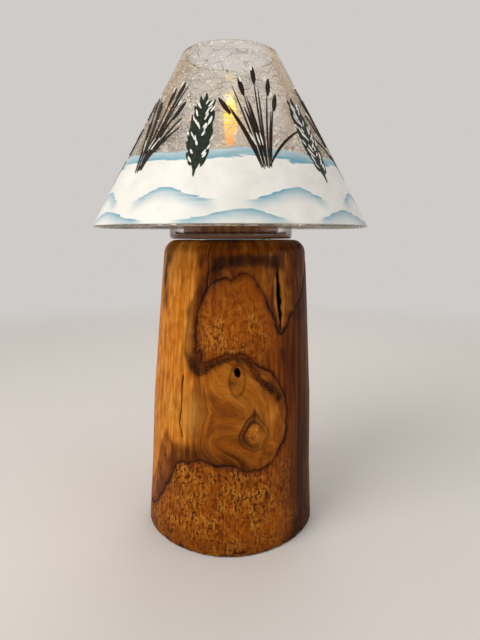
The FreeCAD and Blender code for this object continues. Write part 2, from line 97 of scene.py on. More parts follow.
def add_node(
    tree: bpy.types.NodeTree, kind: str, *ordered: Source, **named: Source | Stops
) -> bpy.types.Node:
    """Add a shader node with its settings, constants and links.

    Args:
        tree: the node tree of a material or world.
        kind: the node's type after "ShaderNode".
        ordered: what goes into the sockets in use, in their order: a constant, a
            hex colour, a socket, or a node whose first output in use is linked.
        named: all in lower case, a setting of the node, where "stops" are those
            of its colour ramp; otherwise what goes into the socket of that name,
            with _ for a space.

    Returns:
        The new node.
    """
    node = tree.nodes.new("ShaderNode" + kind)
    inputs = []
    for name, value in named.items():
        if name == "stops":
            ramp = node.color_ramp.elements
            ramp[0].position, ramp[-1].position = value[0][0], value[-1][0]
            for place, _ in value[1:-1]:
                ramp.new(place)
            for element, (_, code) in zip(ramp, value):
                element.color = linear(code)
        elif name.islower():
            setattr(node, name, value)
        else:
            inputs.append((node.inputs[name.replace("_", " ")], value))
    for socket, value in [*zip(in_use(node.inputs), ordered), *inputs]:
        if isinstance(value, bpy.types.Node):
            value = in_use(value.outputs)[0]
        if isinstance(value, bpy.types.NodeSocket):
            tree.links.new(value, socket)
        else:
            socket.default_value = linear(value) if isinstance(value, str) else value
    return node


def layered(add: Adder, ground: Source, layers: Iterable[tuple[Source, Source]]) -> Source:
    """Lay colours over each other, each where its mask says.

    Args:
        add: add_node for the material's tree.
        ground: the lowest colour.
        layers: (mask, colour) pairs from the bottom up.

    Returns:
        The node of the finished colour.
    """
    for mask, colour in layers:
        ground = add("Mix", mask, ground, colour, data_type="RGBA")
    return ground


def blank(name: str) -> tuple[bpy.types.Material, Adder, bpy.types.NodeSocket]:
    """Make an empty material that uses nodes.

    Args:
        name: the material's name.

    Returns:
        The material, add_node for its tree, and its object coordinates.
    """
    material = bpy.data.materials.new(name)
    material.use_nodes = True
    material.node_tree.nodes.clear()
    add = partial(add_node, material.node_tree)
    return material, add, add("TexCoord").outputs["Object"]


def surface(material: bpy.types.Material, shader: bpy.types.Node) -> bpy.types.Material:
    """Join a shader to its material's output, and give the material back."""
    add_node(material.node_tree, "OutputMaterial", Surface=shader)
    return material


def lamp_lit(add: Adder, glass: bpy.types.Node) -> bpy.types.Node:
    """Let the lamps reach through a glass, tinted a little, on what lies behind it."""
    through = add("BsdfTransparent", Color="#FAF8F3")
    return add("MixShader", add("LightPath").outputs["Is Shadow Ray"], glass, through)


def dress(piece: bpy.types.Object, material: bpy.types.Material) -> None:
    """Give a piece one material and no other."""
    piece.data.materials.clear()
    piece.data.materials.append(material)


# ---- finishes --------------------------------------------------------------------------


@dataclass(frozen=True)
class VarnishedLog:
    """Peeled hardwood log under thick varnish: golden sapwood, brown swirls round
    its knots, and rough orange bark left on, all behind one glossy coat. Painted
    shade darkens its right side, and painted highlights lie on the bark's folds
    and on its left side."""

    streak: float = 1.6  # mm across a streak of grain
    fibre: float = 0.6  # mm across a fibre, as coarse as shows
    flake: float = 0.95  # mm across a flake of bark
    speck: float = 0.5  # mm across a fleck of stain
    patch: float = 6.25  # mm between patches of bark that carry a painted highlight
    cloud: float = 22.2222  # mm between clouds of orange
    drawn: float = 0.4  # share of the grain that is drawn out into streaks
    golden: Stops = ((0.34, "#A2590F"), (0.45, "#C2721C"), (0.54, "#D6852A"), (0.68, "#EAA246"))
    brown: Stops = ((0.34, "#5A2A04"), (0.45, "#80400A"), (0.54, "#98530F"), (0.68, "#B87223"))
    inner: Stops = ((0.32, "#552404"), (0.48, "#823F07"), (0.60, "#9A510D"), (0.74, "#B06A1B"))
    dark: Stops = ((0.34, "#1D0A02"), (0.50, "#321403"), (0.68, "#4E2508"))
    pits: Stops = ((0.35, "#3A1703"), (0.42, "#733706"), (0.50, "#984F09"),
                   (0.60, "#B0600E"), (0.72, "#CB8526"))  # fmt: skip

    def build(self) -> bpy.types.Material:
        """Build the wood from the measures that the log's mesh carries."""
        material, add, place = blank("varnished_peeled_log")
        grain = add("Attribute", attribute_name="grain").outputs["Vector"]
        rough, gloom, orange = (
            add("Attribute", attribute_name=name).outputs["Fac"] for name in ("rough", "gloom", "orange")
        )

        def mask(name: str, low: float, high: float) -> bpy.types.Node:
            """Read one of the log's measures as a soft mask, 0 at low and 1 at high."""
            measure = add("Attribute", attribute_name=name).outputs["Fac"]
            return add("MapRange", measure, low, high, **EASED)

        # the grain's own coordinates are in mm already
        streaks = add("TexNoise", Vector=grain, Scale=0.5 / self.streak, Detail=6.0)
        short = add("Mapping", Vector=grain, Scale=(0.7, 0.7, 6.0))
        mottle = add("TexNoise", Vector=short, Scale=0.5 / self.streak, Detail=4.0)
        run = add("Math", streaks, self.drawn, operation="MULTIPLY")
        figure = add("Math", mottle, 1.0 - self.drawn, run, operation="MULTIPLY_ADD")
        fibres = add("TexNoise", Vector=grain, Scale=0.5 / self.fibre, Detail=3.0)
        flat = add("Mapping", Vector=place, Scale=(1.0, 1.0, 0.6))
        scale = 0.5 / (self.flake * MM)
        flakes = add("TexNoise", Vector=flat, Scale=scale, Detail=4.0, Roughness=0.6, Distortion=0.5)
        specks = add("TexNoise", Vector=place, Scale=0.5 / (self.speck * MM), Detail=2.0)
        clouds = add("TexNoise", Vector=place, Scale=1.0 / (self.cloud * MM), Detail=3.0)
        patches = add("TexNoise", Vector=flat, Scale=1.0 / (self.patch * MM), Detail=2.0)
        dark = add("ValToRGB", streaks, stops=self.dark)
        # crinkled bark: dark pits, orange ground, and light squiggles, a painted
        # highlight where its folds would catch the light through the varnish
        folds = add("Math", flakes, 0.535, 0.022, operation="COMPARE")
        highlit_patches = add("MapRange", patches, 0.42, 0.62, **EASED)
        painted_fold_highlights = add("Math", folds, highlit_patches, operation="MULTIPLY")
        pits = add("ValToRGB", flakes, stops=self.pits)
        crinkled = layered(add, pits, [(painted_fold_highlights, "#E0A03C")])
        uneven = add("MapRange", specks, 0.36, 0.6, To_Min=0.86)
        stipple = add("MapRange", specks, 0.36, 0.6, To_Min=0.5)
        warm = add("Math", orange, clouds, operation="MULTIPLY")
        colour = layered(
            add,
            add("ValToRGB", figure, stops=self.brown),
            [
                (mask("gold", 0.0, 1.0), add("ValToRGB", figure, stops=self.golden)),
                (mask("calm", 0.0, 2.8), "#A05A12"),
                (mask("ring", 0.0, 1.0), "#54290A"),
                (add("Math", mask("halo_mm", 4.2, 0.9), stipple, operation="MULTIPLY"), dark),
                (mask("bark_mm", -0.3, 0.3), add("ValToRGB", streaks, stops=self.inner)),
                (warm, "#B25607"),
                (rough, crinkled),
                (add("Math", warm, 0.36, operation="MULTIPLY"), "#BF6408"),
                # stains, and painted shade down the right side
                (add("Math", gloom, uneven, operation="MULTIPLY"), dark),
                (add("Math", mask("line_mm", 4.5, 0.4), 0.68, operation="MULTIPLY"), "#562605"),
                (mask("line_mm", 1.25, 0.3), "#2C1003"),
                # paler wood, and a painted highlight where the left side is most lit
                (mask("pale", 0.0, 1.0), "#CC9040"),
                (mask("crack_mm", 0.75, 0.15), "#1A0A03"),
            ],
        )
        shade = add("MapRange", fibres, 0.42, 0.7, 0.78, 1.12)
        worn = add("Mix", 1.0, colour, shade, data_type="RGBA", blend_type="MULTIPLY")
        relief = add("Math", flakes, rough, operation="MULTIPLY")
        chipped = add("Bump", Height=relief, Strength=1.0, Distance=2.2 * MM)
        brushed = add("Bump", Height=fibres, Strength=0.35, Distance=0.2 * MM, Normal=chipped)
        shader = add(
            "BsdfPrincipled", Base_Color=worn, Roughness=0.5, IOR=1.5, Specular_IOR_Level=0.03,
            Normal=brushed, Coat_Weight=0.09, Coat_Roughness=0.11, Coat_Normal=chipped,
        )  # fmt: skip
        return surface(material, shader)


@dataclass(frozen=True)
class TurnedWood:
    """Lathe-turned softwood, stained brown: rings of grain on its ends and long
    streaks down its side, with a low satin sheen."""

    name: str = "turned_stained_wood"
    light: str = "#A8621F"
    dark: str = "#7E4412"
    ring: float = 4.4  # mm between growth rings
    pith: tuple[float, float, float] = (0.021, 0.013, 0.0)  # m, off the block's middle

    def build(self) -> bpy.types.Material:
        """Build rings round an off-centre pith, bent by noise."""
        material, add, place = blank(self.name)
        drawn = add("Mapping", Vector=place, Location=self.pith, Scale=(1.0, 1.0, 0.04))
        rings = add(
            "TexWave", wave_type="RINGS", rings_direction="Z", Vector=drawn,
            Scale=0.314 / (self.ring * MM), Distortion=7.0, Detail=4.0, Detail_Scale=2.2,
            Detail_Roughness=0.65,
        ).outputs["Fac"]  # fmt: skip
        colour = add("ValToRGB", rings, stops=((0.1, self.dark), (0.8, self.light)))
        bump = add("Bump", Height=rings, Strength=0.3, Distance=0.2 * MM)
        return surface(material, add("BsdfPrincipled", Base_Color=colour, Roughness=0.5, Normal=bump))


@dataclass(frozen=True)
class CrackledGlass:
    """Soda-lime glass dipped hot in water and fused again: cracks run through the
    wall, so each cell between them bends the view its own way, and some crack
    faces show as dark hairlines while others carry a painted glint of white and gold."""

    name: str
    chip: float  # mm across a small cell
    tilt: float  # how far a cell's face leans, 0 for a plain wall
    tint: str
    cracks: float  # how much the cracks hide what is behind
    body: float  # share of the view that the wall bends
    speck: float  # mm between specks that may carry a painted glint
    flashes: float = 1.0  # how bright the painted glints of the specks are
    floor: float = 0.0  # mm above the table to the floor's top, 0 for no floor
    cell: float = 13.0  # mm across a large cell
    swirl: float = 16.6667  # mm between the bends of the cracks
    patch: float = 23.8095  # mm between patches with many cracks
    crack: tuple[float, float] = (0.24, 0.07)  # mm from its middle to its edge and its core

    def cells(self, add: Adder, place: Source, size: float) -> tuple[Source, Source, Source]:
        """Break the glass into cells of one size.

        Args:
            add: add_node for the material's tree.
            place: where each point lies.
            size: a cell's width in millimetres.

        Returns:
            The crack mask, the cell's random colour, and its tilted height.
        """
        scale = 1.0 / (size * MM)
        edge = add("TexVoronoi", feature="DISTANCE_TO_EDGE", Vector=place, Scale=scale)
        crack = add("MapRange", edge, self.crack[0] / size, self.crack[1] / size, **EASED)
        cell = add("TexVoronoi", Vector=place, Scale=scale).outputs
        away = add("VectorMath", place, cell["Position"], operation="SUBTRACT")
        lean = add("VectorMath", cell["Color"], (0.5, 0.5, 0.5), operation="SUBTRACT")
        return crack, cell["Color"], add("VectorMath", away, lean, operation="DOT_PRODUCT")

    def build(self) -> bpy.types.Material:
        """Build clear glass whose cells lean and whose cracks carry painted glints."""
        material, add, place = blank(self.name)
        swirl = add("TexNoise", Vector=place, Scale=1.0 / (self.swirl * MM), Detail=2.0)
        bend = (6.0 * MM,) * 3
        bent = add("VectorMath", swirl.outputs["Color"], bend, place, operation="MULTIPLY_ADD")
        # cells lie on their sides, longer round the glass than up it
        lying = add("Mapping", Vector=bent, Rotation=(0.5, 0.45, 0.0), Scale=(0.85, 0.85, 1.7))
        large, hue, lean = self.cells(add, lying, self.cell)
        small, spark, twist = self.cells(add, lying, self.chip)
        # only some of the cracks are there: a slow noise picks the places
        patchy = add("TexNoise", Vector=place, Scale=1.0 / (self.patch * MM), Detail=2.0)
        picked = add("MapRange", patchy, 0.47, 0.6, To_Max=0.9, **EASED)
        bold = add("MapRange", patchy, 0.6, 0.42, To_Min=0.5, **EASED)
        # the wall goes golden and its cracks crowd where it is seen edge-on
        facing = add("LayerWeight").outputs["Facing"]
        edge_on = add("MapRange", facing, 0.36, 0.84, To_Max=0.95, **EASED)
        fine = add("Math", small, picked, operation="MULTIPLY")
        grown = add("Math", large, bold, operation="MULTIPLY")
        crowd = add("Math", small, edge_on, operation="MULTIPLY")
        crossed = add("Math", grown, fine, operation="MAXIMUM")
        both = add("Math", crossed, crowd, operation="MAXIMUM")
        # the cracks run from dark hairlines to white and gold; the white and gold is painted glint,
        # opaque pale colour where a crack face would mirror the light
        stops = ((0.36, "#57401F"), (0.48, "#A87B3C"), (0.57, "#FBD88E"), (0.66, "#FFFDF6"))
        glint = add("ValToRGB", spark, stops=stops)
        # painted glints: specks of crack face in opaque pale gold, more of them where the wall turns away
        chip = add("TexVoronoi", Vector=lying, Scale=1.0 / (self.speck * MM)).outputs
        near = add("MapRange", chip["Distance"], 0.3, 0.1, **EASED)
        turns = add("Math", edge_on, 0.2, chip["Color"], operation="MULTIPLY_ADD")
        lit = add("MapRange", turns, 0.62, 0.72, **EASED)
        turned = add("Math", near, lit, operation="MULTIPLY")
        flash = add("Math", turned, self.flashes, operation="MULTIPLY")
        bright = add("MapRange", hue, 0.35, 0.6, 0.22, self.cracks)
        behind = add("Math", both, bright, operation="MULTIPLY")
        hidden = add("Math", behind, flash, operation="MAXIMUM")
        layers = [(edge_on, "#D8A557"), (both, glint), (flash, "#FFF1CC")]
        body = self.body
        if self.floor:
            # the floor's edge carries a painted reflection, in brown, of the wood that
            # stands on it, and a thin wall bends little of the view, but its sides and
            # floor do
            height = add("SeparateXYZ", place).outputs["Z"]
            low = add("MapRange", height, (self.floor + 0.6) * MM, (self.floor - 0.2) * MM, **EASED)
            layers.append((low, "#6B4320"))
            hidden = add("Math", hidden, low, operation="MAXIMUM")
            solid = add("Math", edge_on, low, operation="MAXIMUM")
            body = add("Math", solid, body, operation="MAXIMUM")
        clear = add("Math", 1.0, hidden, operation="SUBTRACT")
        dull = add("MapRange", both, To_Min=0.0, To_Max=0.05)
        facets = add("Bump", Height=lean, Strength=1.0, Distance=self.tilt)
        chips = add("Bump", Height=twist, Strength=1.0, Distance=self.tilt, Normal=facets)
        split = add("Bump", invert=True, Height=both, Strength=0.3, Distance=0.2 * MM, Normal=chips)
        glass = add(
            "BsdfPrincipled", Base_Color=layered(add, self.tint, layers), Roughness=dull, IOR=1.5,
            Transmission_Weight=clear, Alpha=body, Normal=split,
        )  # fmt: skip
        return surface(material, lamp_lit(add, glass))


@dataclass(frozen=True)
class ClearGlass:
    """Drawn borosilicate tube or moulded clear plastic: smooth, with faint ripples
    that only show where its edges turn away."""

    name: str
    tint: str
    roughness: float
    ripple: float  # mm between ripples

    def build(self) -> bpy.types.Material:
        """Build a clear body with a faint ripple."""
        material, add, place = blank(self.name)
        waves = add("TexNoise", Vector=place, Scale=1.0 / (self.ripple * MM), Detail=1.0)
        bump = add("Bump", Height=waves, Strength=0.4, Distance=0.6 * MM)
        glass = add(
            "BsdfPrincipled", Base_Color=self.tint, Roughness=self.roughness, IOR=1.49,
            Transmission_Weight=1.0, Normal=bump,
        )  # fmt: skip
        return surface(material, lamp_lit(add, glass))


@dataclass(frozen=True)
class SnowPaint:
    """Hand-brushed enamel on glass: opaque white with faint strokes, blue dry-
    brushed under the crest of each drift, and hairlines of the crackle below."""

    stroke: float = 0.9  # mm between bristle marks
    cloud: float = 14.2857  # mm between thinner places in the white
    crackle: float = 6.0  # mm across the glass's cells
    ragged: float = 3.2  # mm by which the bristles break up a crest
    fall: float = 1.8  # how fast the blue thins below a crest

    def build(self) -> bpy.types.Material:
        """Build the enamel from the depths below each row of crests."""
        material, add, place = blank("brushed_snow_enamel")
        lying = add("Mapping", Vector=place, Scale=(0.12, 0.12, 1.0))
        bristles = add("TexNoise", Vector=lying, Scale=0.5 / (self.stroke * MM), Detail=4.0)
        clouds = add("TexNoise", Vector=place, Scale=1.0 / (self.cloud * MM), Detail=3.0)
        snow = add("ValToRGB", clouds, stops=((0.3, "#E6E6E0"), (0.55, "#F0EFE9"), (0.75, "#F5F4EF")))
        dry = add("MapRange", bristles, 0.32, 0.58, To_Min=0.6)
        layers = []
        for row in ("hill", "upper", "lower"):
            depth = add("Attribute", attribute_name=row + "_mm").outputs["Fac"]
            ends = add("Attribute", attribute_name=row + "_end").outputs["Fac"]
            broken = add("Math", bristles, self.ragged, depth, operation="MULTIPLY_ADD")
            under = add("MapRange", broken, 1.45, 1.75, **EASED)
            fade = add("MapRange", broken, 1.6, 11.5, 1.0, 0.0)
            blue = add("Math", fade, self.fall, operation="POWER")
            for share in (dry, ends, under):
                blue = add("Math", blue, share, operation="MULTIPLY")
            layers += [(under, snow), (blue, "#4E9DB6")]
        scale = 1.0 / (self.crackle * MM)
        edge = add("TexVoronoi", feature="DISTANCE_TO_EDGE", Vector=place, Scale=scale)
        layers.append((add("MapRange", edge, 0.03, 0.004, To_Max=0.14, **EASED), "#C9C4B4"))
        colour = layered(add, snow, layers)
        bump = add("Bump", Height=bristles, Strength=0.35, Distance=0.2 * MM)
        shader = add("BsdfPrincipled", Base_Color=colour, Roughness=0.38, IOR=1.5, Normal=bump)
        return surface(material, shader)


@dataclass(frozen=True)
class BrushPaint:
    """A dab of brushed enamel: one colour, thinner and lighter along bristle
    marks, with a soft gloss."""

    name: str
    deep: str
    thin: str
    mark: float = 1.2  # mm between bristle marks

    def build(self) -> bpy.types.Material:
        """Build the enamel's two depths of colour."""
        material, add, place = blank(self.name)
        marks = add("TexNoise", Vector=place, Scale=0.5 / (self.mark * MM), Detail=4.0)
        colour = add("ValToRGB", marks, stops=((0.42, self.deep), (0.68, self.thin)))
        bump = add("Bump", Height=marks, Strength=0.4, Distance=0.2 * MM)
        shader = add(
            "BsdfPrincipled", Base_Color=colour, Roughness=0.4, Specular_IOR_Level=0.2, Normal=bump
        )
        return surface(material, shader)


@dataclass(frozen=True)
class Moulded:
    """Injection-moulded plastic or pressed felt: one colour broken by a fine
    grain in its tone and its skin."""

    name: str
    colour: str
    shade: str
    roughness: float
    grain: float  # mm across a grain, as coarse as shows
    relief: float = 0.05  # mm of relief

    def build(self) -> bpy.types.Material:
        """Build the grain as tone and bump."""
        material, add, place = blank(self.name)
        grain = add("TexNoise", Vector=place, Scale=0.5 / (self.grain * MM), Detail=5.0)
        colour = add("ValToRGB", grain, stops=((0.35, self.shade), (0.65, self.colour)))
        bump = add("Bump", Height=grain, Strength=0.6, Distance=self.relief * MM)
        shader = add("BsdfPrincipled", Base_Color=colour, Roughness=self.roughness, Normal=bump)
        return surface(material, shader)


@dataclass(frozen=True)
class Metal:
    """Rolled, drawn or plated metal: its roughness wanders along fine rolling
    marks, so its highlight is streaked."""

    name: str
    colour: str
    roughness: float
    mark: float = 0.25  # mm between rolling marks

    def build(self) -> bpy.types.Material:
        """Build the metal with rolling marks along X."""
        material, add, place = blank(self.name)
        rolled = add("Mapping", Vector=place, Scale=(0.06, 1.0, 1.0))
        marks = add("TexNoise", Vector=rolled, Scale=0.5 / (self.mark * MM), Detail=4.0)
        rough = add("MapRange", marks, 0.3, 0.7, self.roughness * 0.7, self.roughness * 1.4)
        shader = add("BsdfPrincipled", Base_Color=self.colour, Metallic=1.0, Roughness=rough)
        return surface(material, shader)


@dataclass(frozen=True)
class SolderMask:
    """Glass-fibre circuit board under green solder mask: darker green over copper
    traces, with a wet-looking gloss."""

    trace: float = 1.6  # mm between traces

    def build(self) -> bpy.types.Material:
        """Build the mask with traces under it."""
        material, add, place = blank("green_solder_mask")
        traces = add(
            "TexBrick", Vector=place, Scale=0.5 / (self.trace * MM),
            Color1="#1E5B33", Color2="#246B3B", Mortar="#123F22",
        )  # fmt: skip
        return surface(material, add("BsdfPrincipled", Base_Color=traces, Roughness=0.3))


@dataclass(frozen=True)
class LitFlame:
    """Moulded translucent plastic lit from below by the lamp's diode: orange at
    its neck, bright yellow towards the top, paler at its tip."""

    foot: float = 281.0  # mm above the table where the neck starts
    tip: float = 318.3  # mm above the table
    cloud: float = 6.25  # mm between clouds in the glow
    glow: Stops = ((0.10, "#A8683A"), (0.28, "#E0983C"), (0.44, "#F6B23A"), (0.62, "#F9C92C"),
                   (0.84, "#FFD94C"), (1.00, "#FFE9A8"))  # fmt: skip

    def build(self) -> bpy.types.Material:
        """Build the glow as a ramp over height, broken by a little cloud."""
        material, add, place = blank("lit_flame_plastic")
        height = add("SeparateXYZ", place).outputs["Z"]
        share = add("MapRange", height, self.foot * MM, self.tip * MM)
        cloud = add("TexNoise", Vector=place, Scale=1.0 / (self.cloud * MM), Detail=2.0)
        wander = add("Math", cloud, 0.16, share, operation="MULTIPLY_ADD")
        glow = add("ValToRGB", wander, stops=self.glow)
        shader = add(
            "BsdfPrincipled", Base_Color=glow, Roughness=0.45, Emission_Color=glow,
            Emission_Strength=1.0,
        )  # fmt: skip
        return surface(material, shader)


class NodeFinish(Enum):
    """The finish of each node that is shown as it was built."""

    felt_pad = Moulded("brown_wool_felt", "#3A2A20", "#241811", 0.95, 0.5, 0.25)
    cup_bumpers = ClearGlass("clear_soft_polymer", "#F4F4EE", 0.12, 4.0)
    glass_cup = CrackledGlass(
        "crackled_cup_glass", 5.5, 0.006, "#FFFDF8", 0.5, 0.15, 3.0, flashes=0.5, floor=220.8
    )
    candle_riser = TurnedWood()
    glass_shade = CrackledGlass("crackled_shade_glass", 6.2, 0.008, "#FFFCF7", 0.6, 1.0, 3.4)
    candle_base_shell = Moulded("ivory_moulded_shell", "#D9CFB8", "#CFC3A8", 0.45, 0.6)
    candle_collar_shell = Moulded("ivory_collar", "#D9CFB8", "#CFC3A8", 0.45, 0.6)
    candle_tube = ClearGlass("clear_candle_tube", "#FEFDF9", 0.02, 9.0)
    shell_screws = Metal("zinc_screw_steel", "#B9B7B0", 0.35)
    battery_door = Moulded("ivory_door", "#D4C9B0", "#C9BDA2", 0.5, 0.6)
    coin_cell = Metal("cell_case_steel", "#C9C8C4", 0.25)
    negative_contact = Metal("spring_contact_steel", "#BEBCB6", 0.3)
    positive_contact = Metal("side_contact_steel", "#BEBCB6", 0.3)
    circuit_board = SolderMask()
    controller_chip = Moulded("black_epoxy_chip", "#1C1C1D", "#121213", 0.55, 0.2)
    drive_coil = Metal("enamelled_copper_coil", "#B5642D", 0.4, 0.12)
    switch_body = Metal("stamped_switch_shell", "#B4B2AC", 0.35)
    switch_knob = Moulded("black_moulded_knob", "#1B1B1C", "#101011", 0.5, 0.3)
    flame_leaf = LitFlame()
    flame_magnet = Metal("nickel_plated_magnet", "#C7C3B8", 0.18)
    pivot_wire = Metal("spring_steel_wire", "#A9A7A1", 0.3)
    led = ClearGlass("clear_diode_lens", "#FBF4DE", 0.08, 2.0)
    led_leads = Metal("tinned_leads", "#C4C3BF", 0.3)


# ---- shaping ---------------------------------------------------------------------------


def shaped_grid(name: str, places: np.ndarray, measures: Marks) -> bpy.types.Object:
    """Wrap a primitive grid onto a closed shape and weld its seams and poles.

    Args:
        name: the new piece's name.
        places: (rows, columns, 3) points in metres.
        measures: (rows, columns) or (rows, columns, 3) values that the piece's
            material reads, by name.

    Returns:
        The welded piece, its faces outward and smooth.
    """
    rows, columns = places.shape[0] - 1, places.shape[1] - 1
    bpy.ops.object.select_all(action="DESELECT")
    bpy.ops.mesh.primitive_grid_add(x_subdivisions=columns, y_subdivisions=rows, size=1.0)
    piece = bpy.context.active_object
    piece.name = piece.data.name = name
    mesh = piece.data
    at = np.empty(len(mesh.vertices) * 3, np.float32)
    mesh.vertices.foreach_get("co", at)
    at = at.reshape(-1, 3)
    column = np.rint((at[:, 0] + 0.5) * columns).astype(int)
    row = np.rint((at[:, 1] + 0.5) * rows).astype(int)
    mesh.vertices.foreach_set("co", places[row, column].astype(np.float32).ravel())
    for key, values in measures.items():
        kind, part = ("FLOAT_VECTOR", "vector") if values.ndim == 3 else ("FLOAT", "value")
        layer = mesh.attributes.new(key, kind, "POINT")
        layer.data.foreach_set(part, values[row, column].astype(np.float32).ravel())
    bpy.ops.object.mode_set(mode="EDIT")
    bpy.ops.mesh.select_all(action="SELECT")
    bpy.ops.mesh.remove_doubles(threshold=WELD)
    face_outward()
    bpy.ops.object.shade_smooth()
    return piece


def face_outward() -> None:
    """Turn the faces of the piece in edit mode outward, and leave edit mode."""
    bpy.ops.mesh.normals_make_consistent(inside=False)
    bpy.ops.object.mode_set(mode="OBJECT")


def smooth_step(values: np.ndarray, low: float, high: float) -> np.ndarray:
    """Ease values from 0 at low to 1 at high."""
    share = np.clip((values - low) / (high - low), 0.0, 1.0)
    return share * share * (3.0 - 2.0 * share)


def bell(values: np.ndarray, middle: float, wide: float) -> np.ndarray:
    """Peak softly at 1 where the values are at the middle."""
    return np.exp(-(((values - middle) / wide) ** 2))


def soft_noise(
    across: np.ndarray, up: np.ndarray, cell: tuple[float, float], turn: float, seed: int
) -> np.ndarray:
    """Smooth random values that close round a turn.

    Args:
        across: places round the piece.
        up: places along its height.
        cell: the noise's cell, across and up, in the same units.
        turn: the length of a full turn.
        seed: which noise.

    Returns:
        Values from -1 to 1.
    """
    random = np.random.default_rng(seed)
    round_cells = max(3, round(turn / cell[0]))
    high_cells = int(np.ceil((up.max() - up.min()) / cell[1])) + 2
    lattice = random.uniform(-1.0, 1.0, (high_cells + 1, round_cells))
    a = (across % turn) / turn * round_cells
    b = (up - up.min()) / cell[1]
    left, low = np.floor(a).astype(int), np.floor(b).astype(int)
    ta, tb = a - left, b - low
    ta, tb = ta * ta * (3 - 2 * ta), tb * tb * (3 - 2 * tb)
    left, right = left % round_cells, (left + 1) % round_cells
    under = lattice[low, left] * (1 - ta) + lattice[low, right] * ta
    over = lattice[low + 1, left] * (1 - ta) + lattice[low + 1, right] * ta
    return under * (1 - tb) + over * tb


def rounded(points: Curve, steps: int = 5) -> np.ndarray:
    """Run a Catmull-Rom curve through given points.

    Args:
        points: the points in order.
        steps: pieces between two points.

    Returns:
        An (n, 2) array of points on the curve.
    """
    at = np.array(points, float)
    ends = np.vstack([2 * at[0] - at[1], at, 2 * at[-1] - at[-2]])
    t = np.linspace(0, 1, steps, endpoint=False)[:, None]
    runs = []
    for k in range(1, len(ends) - 2):
        a, b, c, d = ends[k - 1 : k + 3]
        curved = (2 * a - 5 * b + 4 * c - d) * t**2 + (3 * b - a - 3 * c + d) * t**3
        runs.append(0.5 * (2 * b + (c - a) * t + curved))
    return np.vstack([*runs, at[-1:]])


def distance_to(path: np.ndarray, u: np.ndarray, v: np.ndarray) -> np.ndarray:
    """Distance of each place to the nearest run of a path.

    Args:
        path: (n, 2) points.
        u: first coordinates of the places.
        v: second coordinates.

    Returns:
        The distances, in the same units.
    """
    nearest = np.full(u.shape, np.inf)
    for (ax, ay), (bx, by) in zip(path[:-1], path[1:]):
        dx, dy = bx - ax, by - ay
        run = dx * dx + dy * dy
        t = np.clip(((u - ax) * dx + (v - ay) * dy) / run, 0.0, 1.0)
        gap = (u - ax - t * dx) ** 2 + (v - ay - t * dy) ** 2
        np.minimum(nearest, gap, out=nearest)
    return np.sqrt(nearest)


def within(path: np.ndarray, u: np.ndarray, v: np.ndarray) -> np.ndarray:
    """Tell which places lie inside a closed path.

    Args:
        path: (n, 2) points; the last joins the first.
        u: first coordinates of the places.
        v: second coordinates.

    Returns:
        True inside.
    """
    inside = np.zeros(u.shape, bool)
    for (ax, ay), (bx, by) in zip(path, np.roll(path, -1, axis=0)):
        if ay != by:
            crosses = (ay > v) != (by > v)
            inside ^= crosses & (u < (bx - ax) * (v - ay) / (by - ay) + ax)
    return inside


# ---- the log ---------------------------------------------------------------------------


@dataclass
class Side:
    """Places on the log's side and soft shapes over them, all in millimetres.

    u runs along the side from the front and z is the height. The ragged pair
    wanders by a millimetre or so, as wood does.
    """

    turns: np.ndarray  # azimuths in degrees from the front, + to the right
    z: np.ndarray
    radius: float  # mean, to turn degrees into mm along the side
    u: np.ndarray = field(init=False)
    ragged_u: np.ndarray = field(init=False)
    ragged_z: np.ndarray = field(init=False)

    def __post_init__(self) -> None:
        """Place the points along the side and let them wander."""
        self.u = self.arc(self.turns)
        self.ragged_u = self.u + 0.9 * self.noise(3.2, 3.0, 1) + self.noise(9.0, 9.0, 2)
        self.ragged_z = self.z + 0.9 * self.noise(3.0, 3.2, 3) + self.noise(9.0, 9.0, 4)

    def arc(self, turn: float | np.ndarray) -> float | np.ndarray:
        """Turn an azimuth into mm along the side."""
        return np.radians(turn) * self.radius

    def noise(self, across: float, up: float, seed: int) -> np.ndarray:
        """Noise of one cell size over the side."""
        return soft_noise(self.u, self.z, (across, up), self.arc(FULL_TURN), seed)

    def path(self, points: Curve) -> np.ndarray:
        """Round a curve of azimuths and heights and give it in mm."""
        return rounded(points) * (self.arc(1.0), 1.0)

    def near(self, path: np.ndarray) -> np.ndarray:
        """Distance of the ragged places to a path."""
        return distance_to(path, self.ragged_u, self.ragged_z)

    def round(self, low: float, high: float) -> np.ndarray:
        """Ease from 0 at one azimuth to 1 at another."""
        return smooth_step(self.turns, low, high)

    def up(self, low: float, high: float) -> np.ndarray:
        """Ease from 0 at one height to 1 at another."""
        return smooth_step(self.z, low, high)

    def spots(self, spots: Spots) -> np.ndarray:
        """Add up soft spots: azimuth, height, mm wide, mm high and strength."""
        return sum(
            strength * bell(self.ragged_u, self.arc(turn), wide) * bell(self.ragged_z, height, high)
            for turn, height, wide, high, strength in spots
        )


